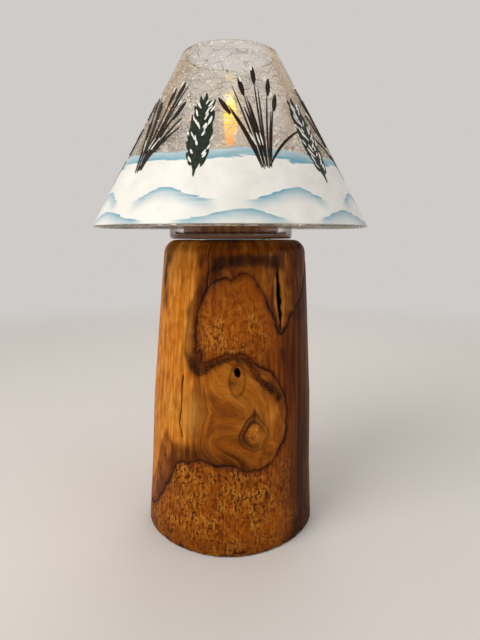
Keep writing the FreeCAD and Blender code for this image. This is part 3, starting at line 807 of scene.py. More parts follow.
@dataclass
class Log:
    """The trunk section that carries the lamp, with the marks of its wood.

    Places on its side are (azimuth in degrees from the front, + to the right;
    height in mm).
    """

    foot: float = 1.0
    top: float = 217.0
    rounding: float = 9.0
    pad_reach: float = 50.3
    pad_roof: float = 3.0
    radius: float = 58.0  # mean
    shares: tuple[float, ...] = (0.0, 0.21, 0.47, 0.79, 1.0)
    left: tuple[float, ...] = (64.9, 61.7, 58.7, 52.2, 47.9)
    right: tuple[float, ...] = (64.0, 61.8, 60.8, 56.9, 54.0)
    columns: int = 430
    side_rows: int = 200
    crown_rows: int = 8
    bark_edge: Curve = (
        (-180, 20), (-165, 16), (-150, 24), (-132, 17), (-118, 27), (-100, 21), (-84, 26), (-72, 19),
        (-63, 22.6), (-57.5, 30.6), (-52.5, 38.6), (-46.5, 47.6), (-42.5, 54.6), (-39.5, 61),
        (-34.5, 65.6), (-30.5, 65), (-27.5, 67.6), (-21.5, 69), (-17, 68.6), (-11, 66.6), (-4, 67),
        (2, 65.6), (7, 63.6), (11, 61.6), (17, 61), (24, 62.5), (29, 65.5), (31, 69.6), (33.5, 73.6),
        (37.5, 79.6), (39.8, 88.6), (40.3, 98.6), (39, 109), (36.5, 116), (32.5, 121), (27.5, 128),
        (22, 131.5), (16, 135), (10, 140), (5, 143), (0, 141), (-5, 142.6), (-9, 141.5), (-14, 139.5),
        (-19, 137), (-22, 137), (-23, 145), (-27, 143), (-27.4, 155), (-27, 165), (-26, 170),
        (-24.5, 175), (-21.5, 180), (-20, 184), (-17, 187), (-12, 191), (-7, 192), (-3, 191), (2, 193),
        (6, 195.5), (11, 193.5), (14, 191), (18, 186), (22, 181), (25.5, 174), (29, 167), (31.5, 159),
        (36, 153.5), (40.5, 161), (45.5, 167), (51, 172), (57, 177), (63, 183), (70, 192), (79, 200),
        (90, 204), (101, 203), (112, 196), (120, 184), (125, 168), (127, 150), (132, 132), (134, 112),
        (141, 92), (144, 72), (152, 55), (159, 40), (169, 27), (180, 20),
    )  # fmt: skip
    halo_edge: Curve = (
        (-31, 186), (-33, 181), (-34.5, 165), (-34, 149), (-31.5, 137), (-25.5, 130), (-20, 132),
        (-14, 136), (-6, 139), (0, 139.4), (8, 138), (12, 134), (15, 129), (20, 123), (27, 117),
        (34, 111),
    )  # fmt: skip
    cracks: tuple[Curve, ...] = (
        ((-19.5, 217), (-20.2, 205), (-19.8, 196), (-21, 186), (-25, 176)),
        ((-36, 126), (-36.5, 114.6), (-37, 96.6), (-38, 91.6), (-36, 86.6), (-34.5, 82.6)),
        ((-66, 190), (-67, 160), (-66, 128), (-69, 96)),
        ((96, 217), (98, 190), (95, 172)),
        ((-128, 217), (-126, 186), (-130, 150), (-127, 120)),
        ((166, 150), (168, 120), (165, 92)),
    )
    # paler wood; the spot at azimuth -29, height 100 is a painted highlight where the left side is most
    # lit
    pale_and_highlight_spots: Spots = (
        (-29, 100, 10, 16, 0.6), (-34, 150, 5, 22, 0.25), (-48, 112, 8, 26, 0.3), (17, 86, 2.4, 2.8, 0.5),
    )  # fmt: skip
    gold_spots: Spots = (
        (12, 100, 22, 26, 0.55), (-6, 124, 16, 12, 0.7), (20, 55, 8, 10, 0.6), (16, 86, 5, 6, 1.2),
        (27, 97, 5, 22, 0.5), (-7, 95, 13, 17, -0.6),
    )  # fmt: skip
    dark_spots: Spots = (
        (38, 211, 5, 4, 0.9), (-28.5, 133, 3.5, 5, 0.8), (36, 141, 2.4, 10, 0.75),
        (-0.5, 123.5, 3.4, 2.8, 0.7), (25, 119, 5.5, 4, 0.7), (33, 111, 4.5, 5, 0.7),
        (-60, 205, 4.6, 8, 1.0), (-66, 192, 4.5, 11, 1.1), (-62, 176, 3.6, 8, 0.9), (60, 45, 7, 30, 0.6),
    )  # fmt: skip
    rough_spots: Spots = ((0, 161, 33, 26, 1.0), (2, 146, 16, 8, 1.0), (-150, 80, 50, 90, 0.6))
    orange_spots: Spots = ((4, 170, 30, 24, 1.1), (-62, 22, 16, 22, 0.9))
    hole: tuple[float, float] = (2.6, 130.0)
    hole_reach: float = 2.5  # mm, half the hole's width at its mouth
    ring_knot: tuple[float, float] = (14.5, 86.6)
    back_knot: tuple[float, float] = (-140.0, 118.0)
    slit: tuple[float, float] = (34.5, 178.0)
    slit_half: tuple[float, float] = (1.3, 17.0)  # mm, half its width and height

    def outline(
        self, turn: np.ndarray, height: np.ndarray, inset: np.ndarray
    ) -> tuple[np.ndarray, np.ndarray, np.ndarray]:
        """Find the log's middle and reach at places on its side.

        Args:
            turn: azimuths in degrees.
            height: heights in mm.
            inset: how far the rounding has come in, in mm.

        Returns:
            The middle's x, the reach, and the angle from +X in radians.
        """
        share = (height - self.foot) / (self.top - self.foot)
        left = np.interp(share, self.shares, self.left)
        right = np.interp(share, self.shares, self.right)
        angle = np.radians(turn + FRONT)
        bulge = 1.2 * np.sin(3 * angle + math.pi * share) - 0.8
        reach = (right + left) / 2 - inset + bulge * np.sin(angle) ** 2
        return (right - left) / 2, reach, angle

    def turns(self) -> np.ndarray:
        """Place the columns, closest together where the log faces front."""
        fine = np.linspace(-180.0, 180.0, 3601)
        density = 1.0 + 1.6 * smooth_step(np.abs(fine), 84.0, 70.0)
        run = np.concatenate([[0.0], np.cumsum((density[1:] + density[:-1]) / 2)])
        return np.interp(np.linspace(0, run[-1], self.columns + 1), run, fine)

    def bark(self, side: Side) -> tuple[np.ndarray, np.ndarray]:
        """Measure the way to the bark's edge.

        Args:
            side: the places.

        Returns:
            Mm inside the ragged edge, less than 0 on bare wood, and mm to the
            edge as it was drawn.
        """
        edge = side.path(self.bark_edge)
        lap = np.array([side.arc(FULL_TURN), 0.0])
        # the curve's ends also lie near places on the seam's far side
        gap = np.minimum.reduce([side.near(run) for run in (edge, edge[-30:] - lap, edge[:30] + lap)])
        floor = np.array([[side.arc(180.0), -9.0], [side.arc(-180.0), -9.0]])
        inside = within(np.vstack([edge, floor]), side.ragged_u, side.ragged_z)
        return np.where(inside, gap, -gap), distance_to(edge, side.u, side.z)

    def slit_marks(self, side: Side) -> tuple[np.ndarray, np.ndarray, np.ndarray]:
        """Open a spindle-shaped slit in the pale wood of a branch stub.

        Args:
            side: the places.

        Returns:
            The spindle's depth as a share, mm to its edge, and the pale wood.
        """
        off = side.u - side.arc(self.slit[0]) + 0.06 * (side.z - self.slit[1])
        du = (off + 0.9 * side.noise(2.2, 4.5, 15)) / self.slit_half[0]
        dz = (side.z - self.slit[1]) / self.slit_half[1]
        spindle = np.sqrt(np.clip(1 - du * du - dz * dz, 0, 1))
        stub = np.interp(side.z, (154.0, 160.0, 176.0, 190.0, 202.0), (0.3, 2.0, 6.0, 5.0, 0.8))
        lens = np.abs(off) / stub
        pale = smooth_step(lens, 1.2, 0.4) * (0.46 + 0.2 * np.cos(lens * 9.0))
        pale *= side.up(201.0, 194.0) * side.up(150.0, 157.0)
        return spindle, (np.hypot(du, dz) - 1) * self.slit_half[0], pale

    def knot(
        self, side: Side, place: tuple[float, float], wide: float
    ) -> tuple[np.ndarray, np.ndarray]:
        """Grow one ring knot, drawn out a little up the trunk.

        Args:
            side: the places.
            place: the knot's azimuth and height.
            wide: its size against the one in front.

        Returns:
            How dark its rings are, and how far it sinks in mm.
        """
        ku = (side.u - side.arc(place[0])) / wide + 0.5 * side.noise(6, 6, 6)
        kz = (side.z - place[1]) / wide / 1.05 + 0.5 * side.noise(6, 6, 7)
        drop = np.clip(kz / 17.0, 0.0, 0.85)
        out = np.hypot(ku / (1 - 0.36 * drop), kz * (1 - 0.3 * drop)) + 0.45 * side.noise(5.0, 5.0, 19)
        grain = 0.5 + 0.5 * np.cos(out * 2.4 + 2.2 * side.noise(8, 8, 8))
        # the two rings are darkest on their left
        toward = 0.62 + 0.38 * np.cos(np.arctan2(kz, ku) - math.radians(165))
        ring = (0.85 * bell(out, 7.2, 1.4) + 0.5 * bell(out, 10.4, 0.9)) * toward
        ring += 0.3 * bell(out, 9.2, 2.6)
        ring += grain * (0.25 * smooth_step(out, 7.5, 5.0) + 0.2 * smooth_step(out, 19.0, 11.0))
        # a check in its middle and a tail above it
        ring += 0.32 * bell(ku, -1.5, 1.3) * bell(kz, 0.0, 2.6)
        ring += 0.55 * bell(ku, 0.0, 1.0) * bell(kz, 16.0, 5.0)
        return np.clip(ring, 0, 1), 0.45 * bell(out, 7.0, 1.3) - 0.3 * smooth_step(out, 7.0, 2.0)

    def gold(self, side: Side) -> np.ndarray:
        """Lay golden sapwood on the left and round the back, where its foot drops.

        Args:
            side: the places.

        Returns:
            The share of golden wood.
        """
        left = side.arc(-24.0)
        golden = smooth_step(side.u, left, left - 10.0) + side.round(128, 165)
        low = np.interp(
            side.turns,
            (-180.0, -110.0, -76.0, -64.0, -52.0, 90.0, 140.0, 180.0),
            (26.0, 30.0, 34.0, 50.0, 78.0, 78.0, 30.0, 26.0),
        ) + 6.0 * side.noise(14.0, 60.0, 20)  # fmt: skip
        above = smooth_step(side.ragged_z - low, -3.0, 7.0)
        return np.clip(golden * above + side.spots(self.gold_spots), 0.0, 1.0)

    def gloom(self, side: Side, bark_mm: np.ndarray) -> np.ndarray:
        """Find where the wood is darkened: by stains, and by painted shade down the right side.

        Args:
            side: the places.
            bark_mm: mm inside the bark's edge.

        Returns:
            The share of the dark stain and the painted shade.
        """
        bare = bark_mm < 0
        edge = side.arc(31.0)
        # painted shade: the bark down the right side, turned away from the light, is darkened
        painted_right_shade = smooth_step(side.u, edge, edge + 24.0) * side.round(165, 120)
        painted_right_shade *= 1.0 - 0.55 * side.round(60, 90)
        # a brown border up the arch's left side and over it, and one above the
        # lower edge's left part
        arch = smooth_step(-bark_mm, 11.0, 6.0) * bare
        arch *= side.up(128, 136) * smooth_step(side.u, side.arc(-6), -12.0)
        lower = smooth_step(-bark_mm, 14.0, 5.0) * bare * side.up(90.0, 82.0)
        lower *= smooth_step(side.u, 18.0, 6.0) * side.round(-76, -66)
        brow = np.exp(-(((side.ragged_z - 203.6 + 0.0022 * (side.u - 12) ** 2) / 5.0) ** 4))
        shoulder = side.round(41, 50) * side.round(88, 64) * side.up(160, 176)
        scuffs = smooth_step(side.noise(3.0, 2.6, 17), 0.2, 0.5) * side.up(7, 2)
        gloom = 0.84 * painted_right_shade * (bark_mm > 0) + 0.66 * arch + 0.52 * lower + 0.72 * shoulder
        gloom += 0.95 * brow * side.round(-21, -13) * side.round(44, 33) + side.spots(self.dark_spots)
        gloom += 0.08 * side.up(206.0, 214.0) + 0.35 * side.up(22.0, 4.0) + 0.9 * scuffs
        return np.clip(gloom, 0.0, 0.97)

    def rough(self, side: Side, bark_mm: np.ndarray) -> np.ndarray:
        """Crinkle the bark inside the arch and below the lower edge, but not down
        the right side, where it is worn smooth.

        Args:
            side: the places.
            bark_mm: mm inside the bark's edge.

        Returns:
            How crinkled it is, as a share.
        """
        worn = side.round(14, 66) * side.round(165, 120)
        crinkle = side.up(74, 62) * (1.0 - worn) + side.up(34, 10) + side.spots(self.rough_spots)
        uneven = 0.6 + 0.4 * smooth_step(side.noise(13, 20, 10), -0.5, 0.5)
        return np.clip(crinkle * 1.25 - 0.12, 0.0, 1.0) * uneven * smooth_step(bark_mm, 0.2, 1.6)

    def marks(self, side: Side) -> tuple[Marks, np.ndarray]:
        """Measure the wood's marks at each place of the side.

        Args:
            side: the places.

        Returns:
            Distances in mm and shares, by name, and how far the surface lies
            inside the log's outline.
        """
        bark_mm, plain_mm = self.bark(side)
        bare = bark_mm < 0
        spindle, slit_mm, pale = self.slit_marks(side)
        pale += side.spots(self.pale_and_highlight_spots)
        hu = side.u - side.arc(self.hole[0])
        hz = side.z - self.hole[1]
        hole_mm = np.hypot(1.3 * hu + 0.3 * hz, 0.88 * hz)
        wander = side.u + 0.5 * side.noise(2.5, 6.0, 5)
        checks = [distance_to(side.path(crack), wander, side.z) for crack in self.cracks]
        crack_mm = np.minimum.reduce([*checks, slit_mm, hole_mm - self.hole_reach])
        front, front_dome = self.knot(side, self.ring_knot, 1.0)
        back, back_dome = self.knot(side, self.back_knot, 1.5)
        # the hole sits high in a brown oval, and arcs run beside the bark's edge
        halo = (0.5 + 0.5 * np.cos(hole_mm * 2.1)) * smooth_step(hole_mm, 12.0, 4.0)
        oval = np.hypot(hu / 5.2, (hz + 5.0) / 10.5)
        arcs = 0.5 + 0.5 * np.cos(bark_mm * 1.7 + 1.5 * side.noise(12, 12, 9))
        arcs *= smooth_step(-bark_mm, 26.0, 3.0) * bare
        brown = (0.35 * halo, 0.6 * bell(oval, 1.0, 0.2), 0.3 * smooth_step(oval, 1.0, 0.6), 0.14 * arcs)
        # the swirled wood round the knots is a little browner
        calm = side.round(-28, -8) * side.round(75, 50) * side.up(68, 84) * side.up(150, 138) * bare
        rough = self.rough(side, bark_mm)
        orange = 1.2 * side.up(42.0, 4.0) + (bark_mm > 0) * side.spots(self.orange_spots)
        relief = (
            0.5 * bell(bark_mm, 0.0, 0.9)
            + 0.22 * smooth_step(-bark_mm, -1.0, 1.2)
            + 0.3 * rough * (0.5 + 0.5 * side.noise(1.7, 4.5, 11))
            + 1.2 * bell(crack_mm.clip(0), 0.0, 0.6)
            + 3.2 * spindle
            + 0.7 * pale
            + 4.6 * smooth_step(hole_mm, self.hole_reach, self.hole_reach * 0.4)
            + 0.6 * bell(hole_mm, 0.0, 4.5)
            + front_dome
            + back_dome
            + 0.2 * (1.0 + side.noise(38.0, 60.0, 12))
            + 0.12 * (1.0 + side.noise(11.0, 40.0, 13))
            + 0.5 * side.up(5.0, 1.0) * (0.5 + 0.5 * side.noise(3.0, 3.0, 14))
        )
        found = {
            "bark_mm": bark_mm,
            # the outline thins out here and there
            "line_mm": np.abs(bark_mm) + 0.45 * np.clip(side.noise(10.0, 10.0, 18) + 0.1, 0, 1),
            "halo_mm": side.near(side.path(self.halo_edge)) + 6.0 * side.up(138.0, 150.0),
            "crack_mm": crack_mm,
            "ring": np.maximum.reduce([front, back, *brown]),
            "pale": pale * smooth_step(np.abs(crack_mm), 0.2, 0.8),
            "gold": self.gold(side),
            "calm": calm,
            "gloom": self.gloom(side, bark_mm),
            "rough": rough,
            "orange": np.clip(orange, 0, 1),
            "grain": self.grain(side, plain_mm, bare),
        }
        return found, np.clip(relief, 0.0, None)

    def grain(self, side: Side, plain_mm: np.ndarray, bare: np.ndarray) -> np.ndarray:
        """Bend the grain round the knots.

        Args:
            side: the places.
            plain_mm: mm to the bark's edge.
            bare: where the wood is bare.

        Returns:
            A point in mm for each place, along which the grain's noise is drawn.
        """
        bent = side.u.copy()
        for place, spread in (
            (self.hole, 13.0), (self.ring_knot, 17.0), (self.slit, 11.0), (self.back_knot, 22.0),
        ):  # fmt: skip
            du, dz = side.u - side.arc(place[0]), side.z - place[1]
            bent -= 0.75 * du * np.exp(-(du * du + 0.35 * dz * dz) / spread**2)
        angle = bent / self.radius
        swirl = side.round(-30, -5) * side.round(75, 50) * side.up(66, 84) * side.up(152, 138) * bare
        across = 26.0 - plain_mm * 0.8 + 0.15 * side.u
        x = self.radius * np.sin(angle) * (1 - swirl) + across * swirl
        y = -self.radius * np.cos(angle)
        return np.stack([x, y, side.z * 0.055 + 0.03 * side.u * swirl], axis=-1)

    def build(self) -> bpy.types.Object:
        """Build the log's skin from its foot, up its side and over its top."""
        turn = self.turns()
        straight = np.linspace(self.foot, self.top - self.rounding, self.side_rows + 1)
        lean = np.linspace(0, math.pi / 2, self.crown_rows + 1)[1:]
        height = np.concatenate([straight, self.top - self.rounding + self.rounding * np.sin(lean)])
        inset = np.concatenate([0 * straight, self.rounding * (1 - np.cos(lean))])
        turns, heights = np.meshgrid(turn, height)
        middle, reach, angle = self.outline(turns, heights, inset[:, None])
        marks, relief = self.marks(Side(turns, heights, self.radius))
        fade = smooth_step(heights, self.top, self.top - 3.0)
        right = 0.5 + 0.5 * np.sin(np.radians(turns))
        # the right grows a little towards the top, and the left is fuller all the way
        reach += heights / self.top * right + 1.2 * (1.0 - right) - relief * (0.25 + 0.75 * fade)
        skin = np.stack([middle + reach * np.cos(angle), reach * np.sin(angle), heights], axis=-1)
        # the foot's recess, from its middle out
        around = np.stack([np.cos(angle[0]), np.sin(angle[0]), 0 * turn], axis=-1)
        ledge = (0.0, self.pad_reach - 1.0, self.pad_reach, self.pad_reach)
        floor = (self.pad_roof, self.pad_roof, self.pad_roof, self.foot)
        foot_rows = [around * far + (0.0, 0.0, z) for far, z in zip(ledge, floor)]
        # the flat top, in to its middle
        centre = np.array([middle[-1, 0], 0.0, self.top])
        shares = (0.985, 0.93, 0.82, 0.66, 0.5, 0.34, 0.18, 0.06, 0.0)
        top_rows = [centre + (skin[-1] - centre) * share for share in shares]
        ends = (np.stack(foot_rows), np.stack(top_rows))
        places = np.concatenate([ends[0], skin, ends[1]]) * MM
        measures = {
            key: np.concatenate([self.end_marks(key, ends[0]), values, self.end_marks(key, ends[1])])
            for key, values in marks.items()
        }
        piece = shaped_grid("varnished_log", places, measures)
        dress(piece, VarnishedLog().build())
        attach(piece, "log")
        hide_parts("log_base")
        return piece

    def end_marks(self, key: str, places: np.ndarray) -> np.ndarray:
        """Give a sawn end growth rings in place of the side's marks.

        Args:
            key: the mark's name.
            places: the end's points in mm.

        Returns:
            The mark's value at each point.
        """
        x, y, z = np.moveaxis(places, -1, 0)
        if key == "grain":
            squeeze = 0.2 if z[0, 0] < self.top / 2 else 0.055
            return places * (1, 1, squeeze)
        if key == "ring":
            return 0.4 * (0.5 + 0.5 * np.cos(np.hypot(x - 3.0, y - 5.0) * 1.6))
        plain = {"bark_mm": -30.0, "pale": 0.0, "gloom": 0.25, "rough": 0.0, "orange": 0.1,
                 "gold": 0.45, "calm": 0.0}  # fmt: skip
        return np.full(x.shape, plain.get(key, 30.0))


# ---- the shade's painting --------------------------------------------------------------


@dataclass
class WinterPainting:
    """Enamel brushed on the shade's outside: a band of snow with evenly spaced
    drifts, and slim junipers and bulrushes in turn round the glass."""

    rim: float = 225.29
    wide: float = 99.05  # the glass's outer reach at its rim
    slope: float = 0.5542  # mm that the reach shrinks per mm up
    outward: tuple[float, float] = (0.875, 0.485)  # out and up, the way off the glass
    foot: float = 226.7
    crest: float = 270.0
    columns: int = 720
    rows: int = 54
    proud: float = 0.2
    sunk: float = -0.15
    plant_lift: float = 0.36  # mm off the glass
    fleck_lift: float = 0.52
    # rows of drifts: name, height and rise in mm, half a drift in degrees, how
    # many there are, and the azimuth of the first
    drifts: tuple[tuple[str, float, float, float, int, float], ...] = (
        ("upper", 247.5, 7.5, 19.0, 8, 22.5),
        ("lower", 235.0, 6.5, 22.0, 7, 0.0),
    )
    stagger: tuple[float, int] = (0.004, 7)  # mm between strokes that cross, how many heights
    stations: int = 12  # places for plants round the shade
    painted: float = 115.0  # degrees either side of the front that carry plants
    seed: int = 41

    def reach(self, z: np.ndarray | float, lift: np.ndarray | float) -> np.ndarray:
        """Reach of the glass's outside at a height, lifted off by some mm."""
        return self.wide - self.slope * (z - self.rim) + lift * self.outward[0]

    def point(self, turn: np.ndarray, z: np.ndarray, lift: np.ndarray | float) -> np.ndarray:
        """Place something on the glass.

        Args:
            turn: azimuths in degrees.
            z: heights in mm.
            lift: mm off the glass.

        Returns:
            Points in metres.
        """
        reach = self.reach(z, lift)
        angle = np.radians(turn + FRONT)
        up = z + np.asarray(lift) * self.outward[1]
        return np.stack([reach * np.cos(angle), reach * np.sin(angle), up], -1) * MM

    def crests(self, turn: np.ndarray, z: np.ndarray) -> Marks:
        """Measure each place's depth below the crests of the snow.

        Args:
            turn: azimuths in degrees.
            z: heights in mm.

        Returns:
            For each row of crests its depth in mm, and how much blue it carries.
        """
        hill = 264.3 + 1.0 * np.sin(np.radians(6 * turn + 20))
        # the far snow lies above the hill's crest and pales towards the sky
        found = {"hill_mm": (z - hill) * 0.45, "hill_end": np.ones(z.shape)}
        for row, at, high, half, count, start in self.drifts:
            gap = FULL_TURN / count
            near = (turn - start + gap / 2) % gap - gap / 2
            # every other drift leans the other way
            lean = np.where(np.floor((turn - start) / gap + 0.5) % 2, 0.2, -0.2)
            share = near / half
            share = share + lean * (1 - share * share)
            bow = np.cos(np.clip(share, -1.2, 1.2) * math.pi) - 1
            found[row + "_mm"] = at + high * bow / 2 - z
            found[row + "_end"] = smooth_step(np.abs(near) / half, 1.0, 0.62)
        return found

    def band(self) -> bpy.types.Object:
        """Brush the band of snow on, its edges feathered onto the glass."""
        turn = np.linspace(-180, 180, self.columns + 1)
        waves = ((0.7, 5, 40), (0.4, 17, 0), (0.2, 61, 0))  # mm high, how many, start in degrees
        crest = self.crest + sum(mm * np.sin(np.radians(many * turn + at)) for mm, many, at in waves)
        share = np.linspace(0, 1, self.rows + 1)[:, None]
        z = self.foot + (crest - self.foot) * share
        turns = np.broadcast_to(turn, z.shape)
        lift = self.proud * (1 - np.abs(2 * share - 1) ** 14) + 0 * z
        outer = self.point(turns, z, lift)
        back = [self.point(turn, z[-1], self.sunk), self.point(turn, z[0], self.sunk)]
        measures = {
            key: np.concatenate([values, values[-1:], values[:1], values[:1]])
            for key, values in self.crests(turns, z).items()
        }
        piece = shaped_grid("painted_snow", np.concatenate([outer, back, outer[:1]]), measures)
        dress(piece, SnowPaint().build())
        return piece

    def brush(self, runs: int = 8) -> tuple[np.ndarray, list[tuple[int, ...]]]:
        """Model one brush stroke as a unit bar of several runs.

        Args:
            runs: pieces along the stroke.

        Returns:
            Its points, 0 to 1 along X and -1 or 1 across Y and Z, and its faces.
        """
        bpy.ops.object.select_all(action="DESELECT")
        bpy.ops.mesh.primitive_cube_add(size=2.0)
        bar = bpy.context.active_object
        bpy.ops.object.mode_set(mode="EDIT")
        bpy.ops.mesh.select_all(action="DESELECT")
        bpy.ops.object.mode_set(mode="OBJECT")
        for face in bar.data.polygons:
            face.select = face.normal.x > 0.9
        bpy.ops.object.mode_set(mode="EDIT")
        bpy.ops.mesh.select_mode(type="FACE")
        for _ in range(runs - 1):
            bpy.ops.mesh.extrude_region_move(TRANSFORM_OT_translate={"value": (2.0, 0.0, 0.0)})
        bpy.ops.object.mode_set(mode="OBJECT")
        at = np.array([v.co[:] for v in bar.data.vertices])
        at[:, 0] = (at[:, 0] + 1.0) / (2.0 * runs)
        # the extrude gives the faces in another order on each run, so each starts
        # at its lowest point and they are sorted
        faces = []
        for face in bar.data.polygons:
            corners = list(face.vertices)
            first = corners.index(min(corners))
            faces.append(tuple(corners[first:] + corners[:first]))
        faces.sort()
        bpy.data.objects.remove(bar)
        return at, faces

    def strokes(
        self, name: str, paths: Sequence[tuple[float, np.ndarray, np.ndarray]], lift: float
    ) -> bpy.types.Object:
        """Lay brush strokes on the glass.

        Args:
            name: the piece's name.
            paths: for each stroke its plant's azimuth, an (n, 2) spine in mm
                (across, height) and a half width for each of its points.
            lift: how far the paint stands off the glass, in mm.

        Returns:
            One piece of all the strokes.
        """
        unit, faces = self.brush()
        points, polygons = [], []
        for number, (turn, spine, half) in enumerate(paths):
            share = np.linspace(0, 1, len(spine))
            ahead = np.gradient(spine, axis=0)
            ahead /= np.linalg.norm(ahead, axis=1, keepdims=True)
            across, up, dx, dz, width = (
                np.interp(unit[:, 0], share, values) for values in (*spine.T, *ahead.T, half)
            )
            width *= unit[:, 1]
            across, up = across - dz * width, up + dx * width
            azimuth = turn + np.degrees(across / self.reach(up, 0.0))
            off = np.where(unit[:, 2] > 0, lift + self.stagger[0] * (number % self.stagger[1]), self.sunk)
            points.append(self.point(azimuth, up, off))
            base = number * len(unit)
            polygons += [tuple(base + k for k in face) for face in faces]
        mesh = bpy.data.meshes.new(name)
        mesh.from_pydata(np.concatenate(points).tolist(), [], polygons)
        piece = bpy.data.objects.new(name, mesh)
        bpy.context.scene.collection.objects.link(piece)
        bpy.ops.object.select_all(action="DESELECT")
        piece.select_set(True)
        bpy.context.view_layer.objects.active = piece
        bpy.ops.object.mode_set(mode="EDIT")
        bpy.ops.mesh.select_all(action="SELECT")
        face_outward()
        bpy.ops.object.shade_smooth_by_angle(angle=math.radians(40.0))
        return piece

    def dab(
        self, start: tuple[float, float], lean: float, long: float, wide: float, curl: float = -0.45
    ) -> tuple[np.ndarray, np.ndarray]:
        """One dab: a curved spine and its half widths.

        Args:
            start: where it starts, across and up, in mm.
            lean: degrees from straight up, + to the right.
            long: its length in mm.
            wide: its greatest width in mm.
            curl: share of its lean that it gains on its way; less than 0 rises.

        Returns:
            The spine and the half widths.
        """
        share = np.linspace(0, 1, 9)
        angle = np.radians(lean * (1.0 + curl * share))
        steps = np.stack([np.sin(angle), np.cos(angle)], -1) * long / 8
        steps[0] = start
        half = wide / 2 * np.clip(np.sin(math.pi * (0.06 + 0.9 * share)), 0.05, 1) ** 0.7
        return np.cumsum(steps, axis=0), half

    def plants(self) -> list[bpy.types.Object]:
        """Paint junipers and bulrushes in turn round the glass."""
        random = np.random.default_rng(self.seed)
        green, flecks, brown = [], [], []
        gap = FULL_TURN / self.stations
        for station in range(self.stations):
            turn = gap * (station + 0.5) - FULL_TURN / 2
            if abs(turn) > self.painted:
                continue
            if station % 2:
                self.juniper(turn, random, green, flecks)
            else:
                self.bulrush(turn, random, brown, flecks)
        made = []
        for name, paths, lift, *finish in (
            ("painted_juniper_green", green, self.plant_lift, "dark_green_enamel", "#0C140B", "#22351F"),
            ("painted_bulrush_brown", brown, self.plant_lift, "dark_brown_enamel", "#150B05", "#321D0E"),
            ("painted_snow_flecks", flecks, self.fleck_lift, "white_fleck_enamel", "#F2F1EA", "#D9DCD6"),
        ):
            piece = self.strokes(name, paths, lift)
            dress(piece, BrushPaint(*finish).build())
            made.append(piece)
        return made

    def juniper(self, turn: float, random: np.random.Generator, green: list, flecks: list) -> None:
        """Dab one slim juniper: a full body, ragged sides and flecks of snow.

        Args:
            turn: its azimuth in degrees.
            random: the painting's seeded random numbers.
            green: gets its dark strokes.
            flecks: gets its snow strokes.
        """
        tall = random.uniform(47, 53)
        foot = random.uniform(256.0, 258.5)
        green.append((turn, *self.dab((0.0, foot - 4.0), 0.0, 9.0, 1.8)))
        for stem in range(-4, 5):
            long = tall * (1.0 - 0.045 * abs(stem))
            start = (0.4 * stem, foot + 0.22 * stem * stem)
            green.append((turn, *self.dab(start, 5.4 * stem, long, 4.2, -1.75)))
        for tip in range(46):
            share = 0.04 + 0.9 * tip / 45
            side = -1.0 if tip % 2 else 1.0
            broad = 7.4 * math.sin(math.pi * (0.14 + 0.8 * share)) ** 0.8
            z = foot + share * (tall - 6.0)
            long = random.uniform(4.5, 7.5)
            lean = side * random.uniform(14, 34)
            start = (side * broad * random.uniform(0.55, 0.8), z)
            green.append((turn, *self.dab(start, lean, long, 2.0)))
            if random.uniform() < 0.72:
                across = side * broad * random.uniform(0.05, 0.95)
                thick = random.uniform(0.8, 1.5)
                long = random.uniform(2.6, 5.5)
                flecks.append((turn, *self.dab((across, z + 2.0), lean * 1.5, long, thick)))

    def bulrush(self, turn: float, random: np.random.Generator, brown: list, flecks: list) -> None:
        """Brush one clump of bulrushes: thin stems, a few with a full head.

        Args:
            turn: its azimuth in degrees.
            random: the painting's seeded random numbers.
            brown: gets its dark strokes.
            flecks: gets its snow strokes.
        """
        for stem in range(9):
            fan = (stem - 4) / 4
            lean = fan * 11 + random.normal(0, 2)
            long = random.uniform(44, 68) * (1 - 0.25 * abs(fan))
            root = (fan * 3.0, 258.5 + random.uniform(-1.0, 1.0))
            curl = random.uniform(0.3, 1.4)
            spine, half = self.dab(root, lean, long, 1.1, curl)
            brown.append((turn, spine, half))
            if stem % 2 == 0:
                tilt = lean * (1 + curl)
                top = (float(spine[-1, 0]), float(spine[-1, 1]) - 3.0)
                brown.append((turn, *self.dab(top, tilt, 12.0, 3.1, 0.1)))
                cap = (top[0] - 0.5, top[1] + 9.0)
                flecks.append((turn, *self.dab(cap, tilt, 4.0, 1.3, 0.1)))
            else:
                blade = random.uniform(30, 42)
                side = 24 * fan + random.normal(0, 6)
                brown.append((turn, *self.dab(root, side, blade, 1.7, 1.5)))
                frost = (root[0] + 0.25 * blade * math.sin(math.radians(side)), 272.0)
                flecks.append((turn, *self.dab(frost, side * 1.4, 8.0, 0.8, 0.4)))

    def build(self) -> list[bpy.types.Object]:
        """Paint the snow and the plants."""
        pieces = [self.band(), *self.plants()]
        for piece in pieces:
            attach(piece, "shade")
        return pieces


# ---- the studio ------------------------------------------------------------------------


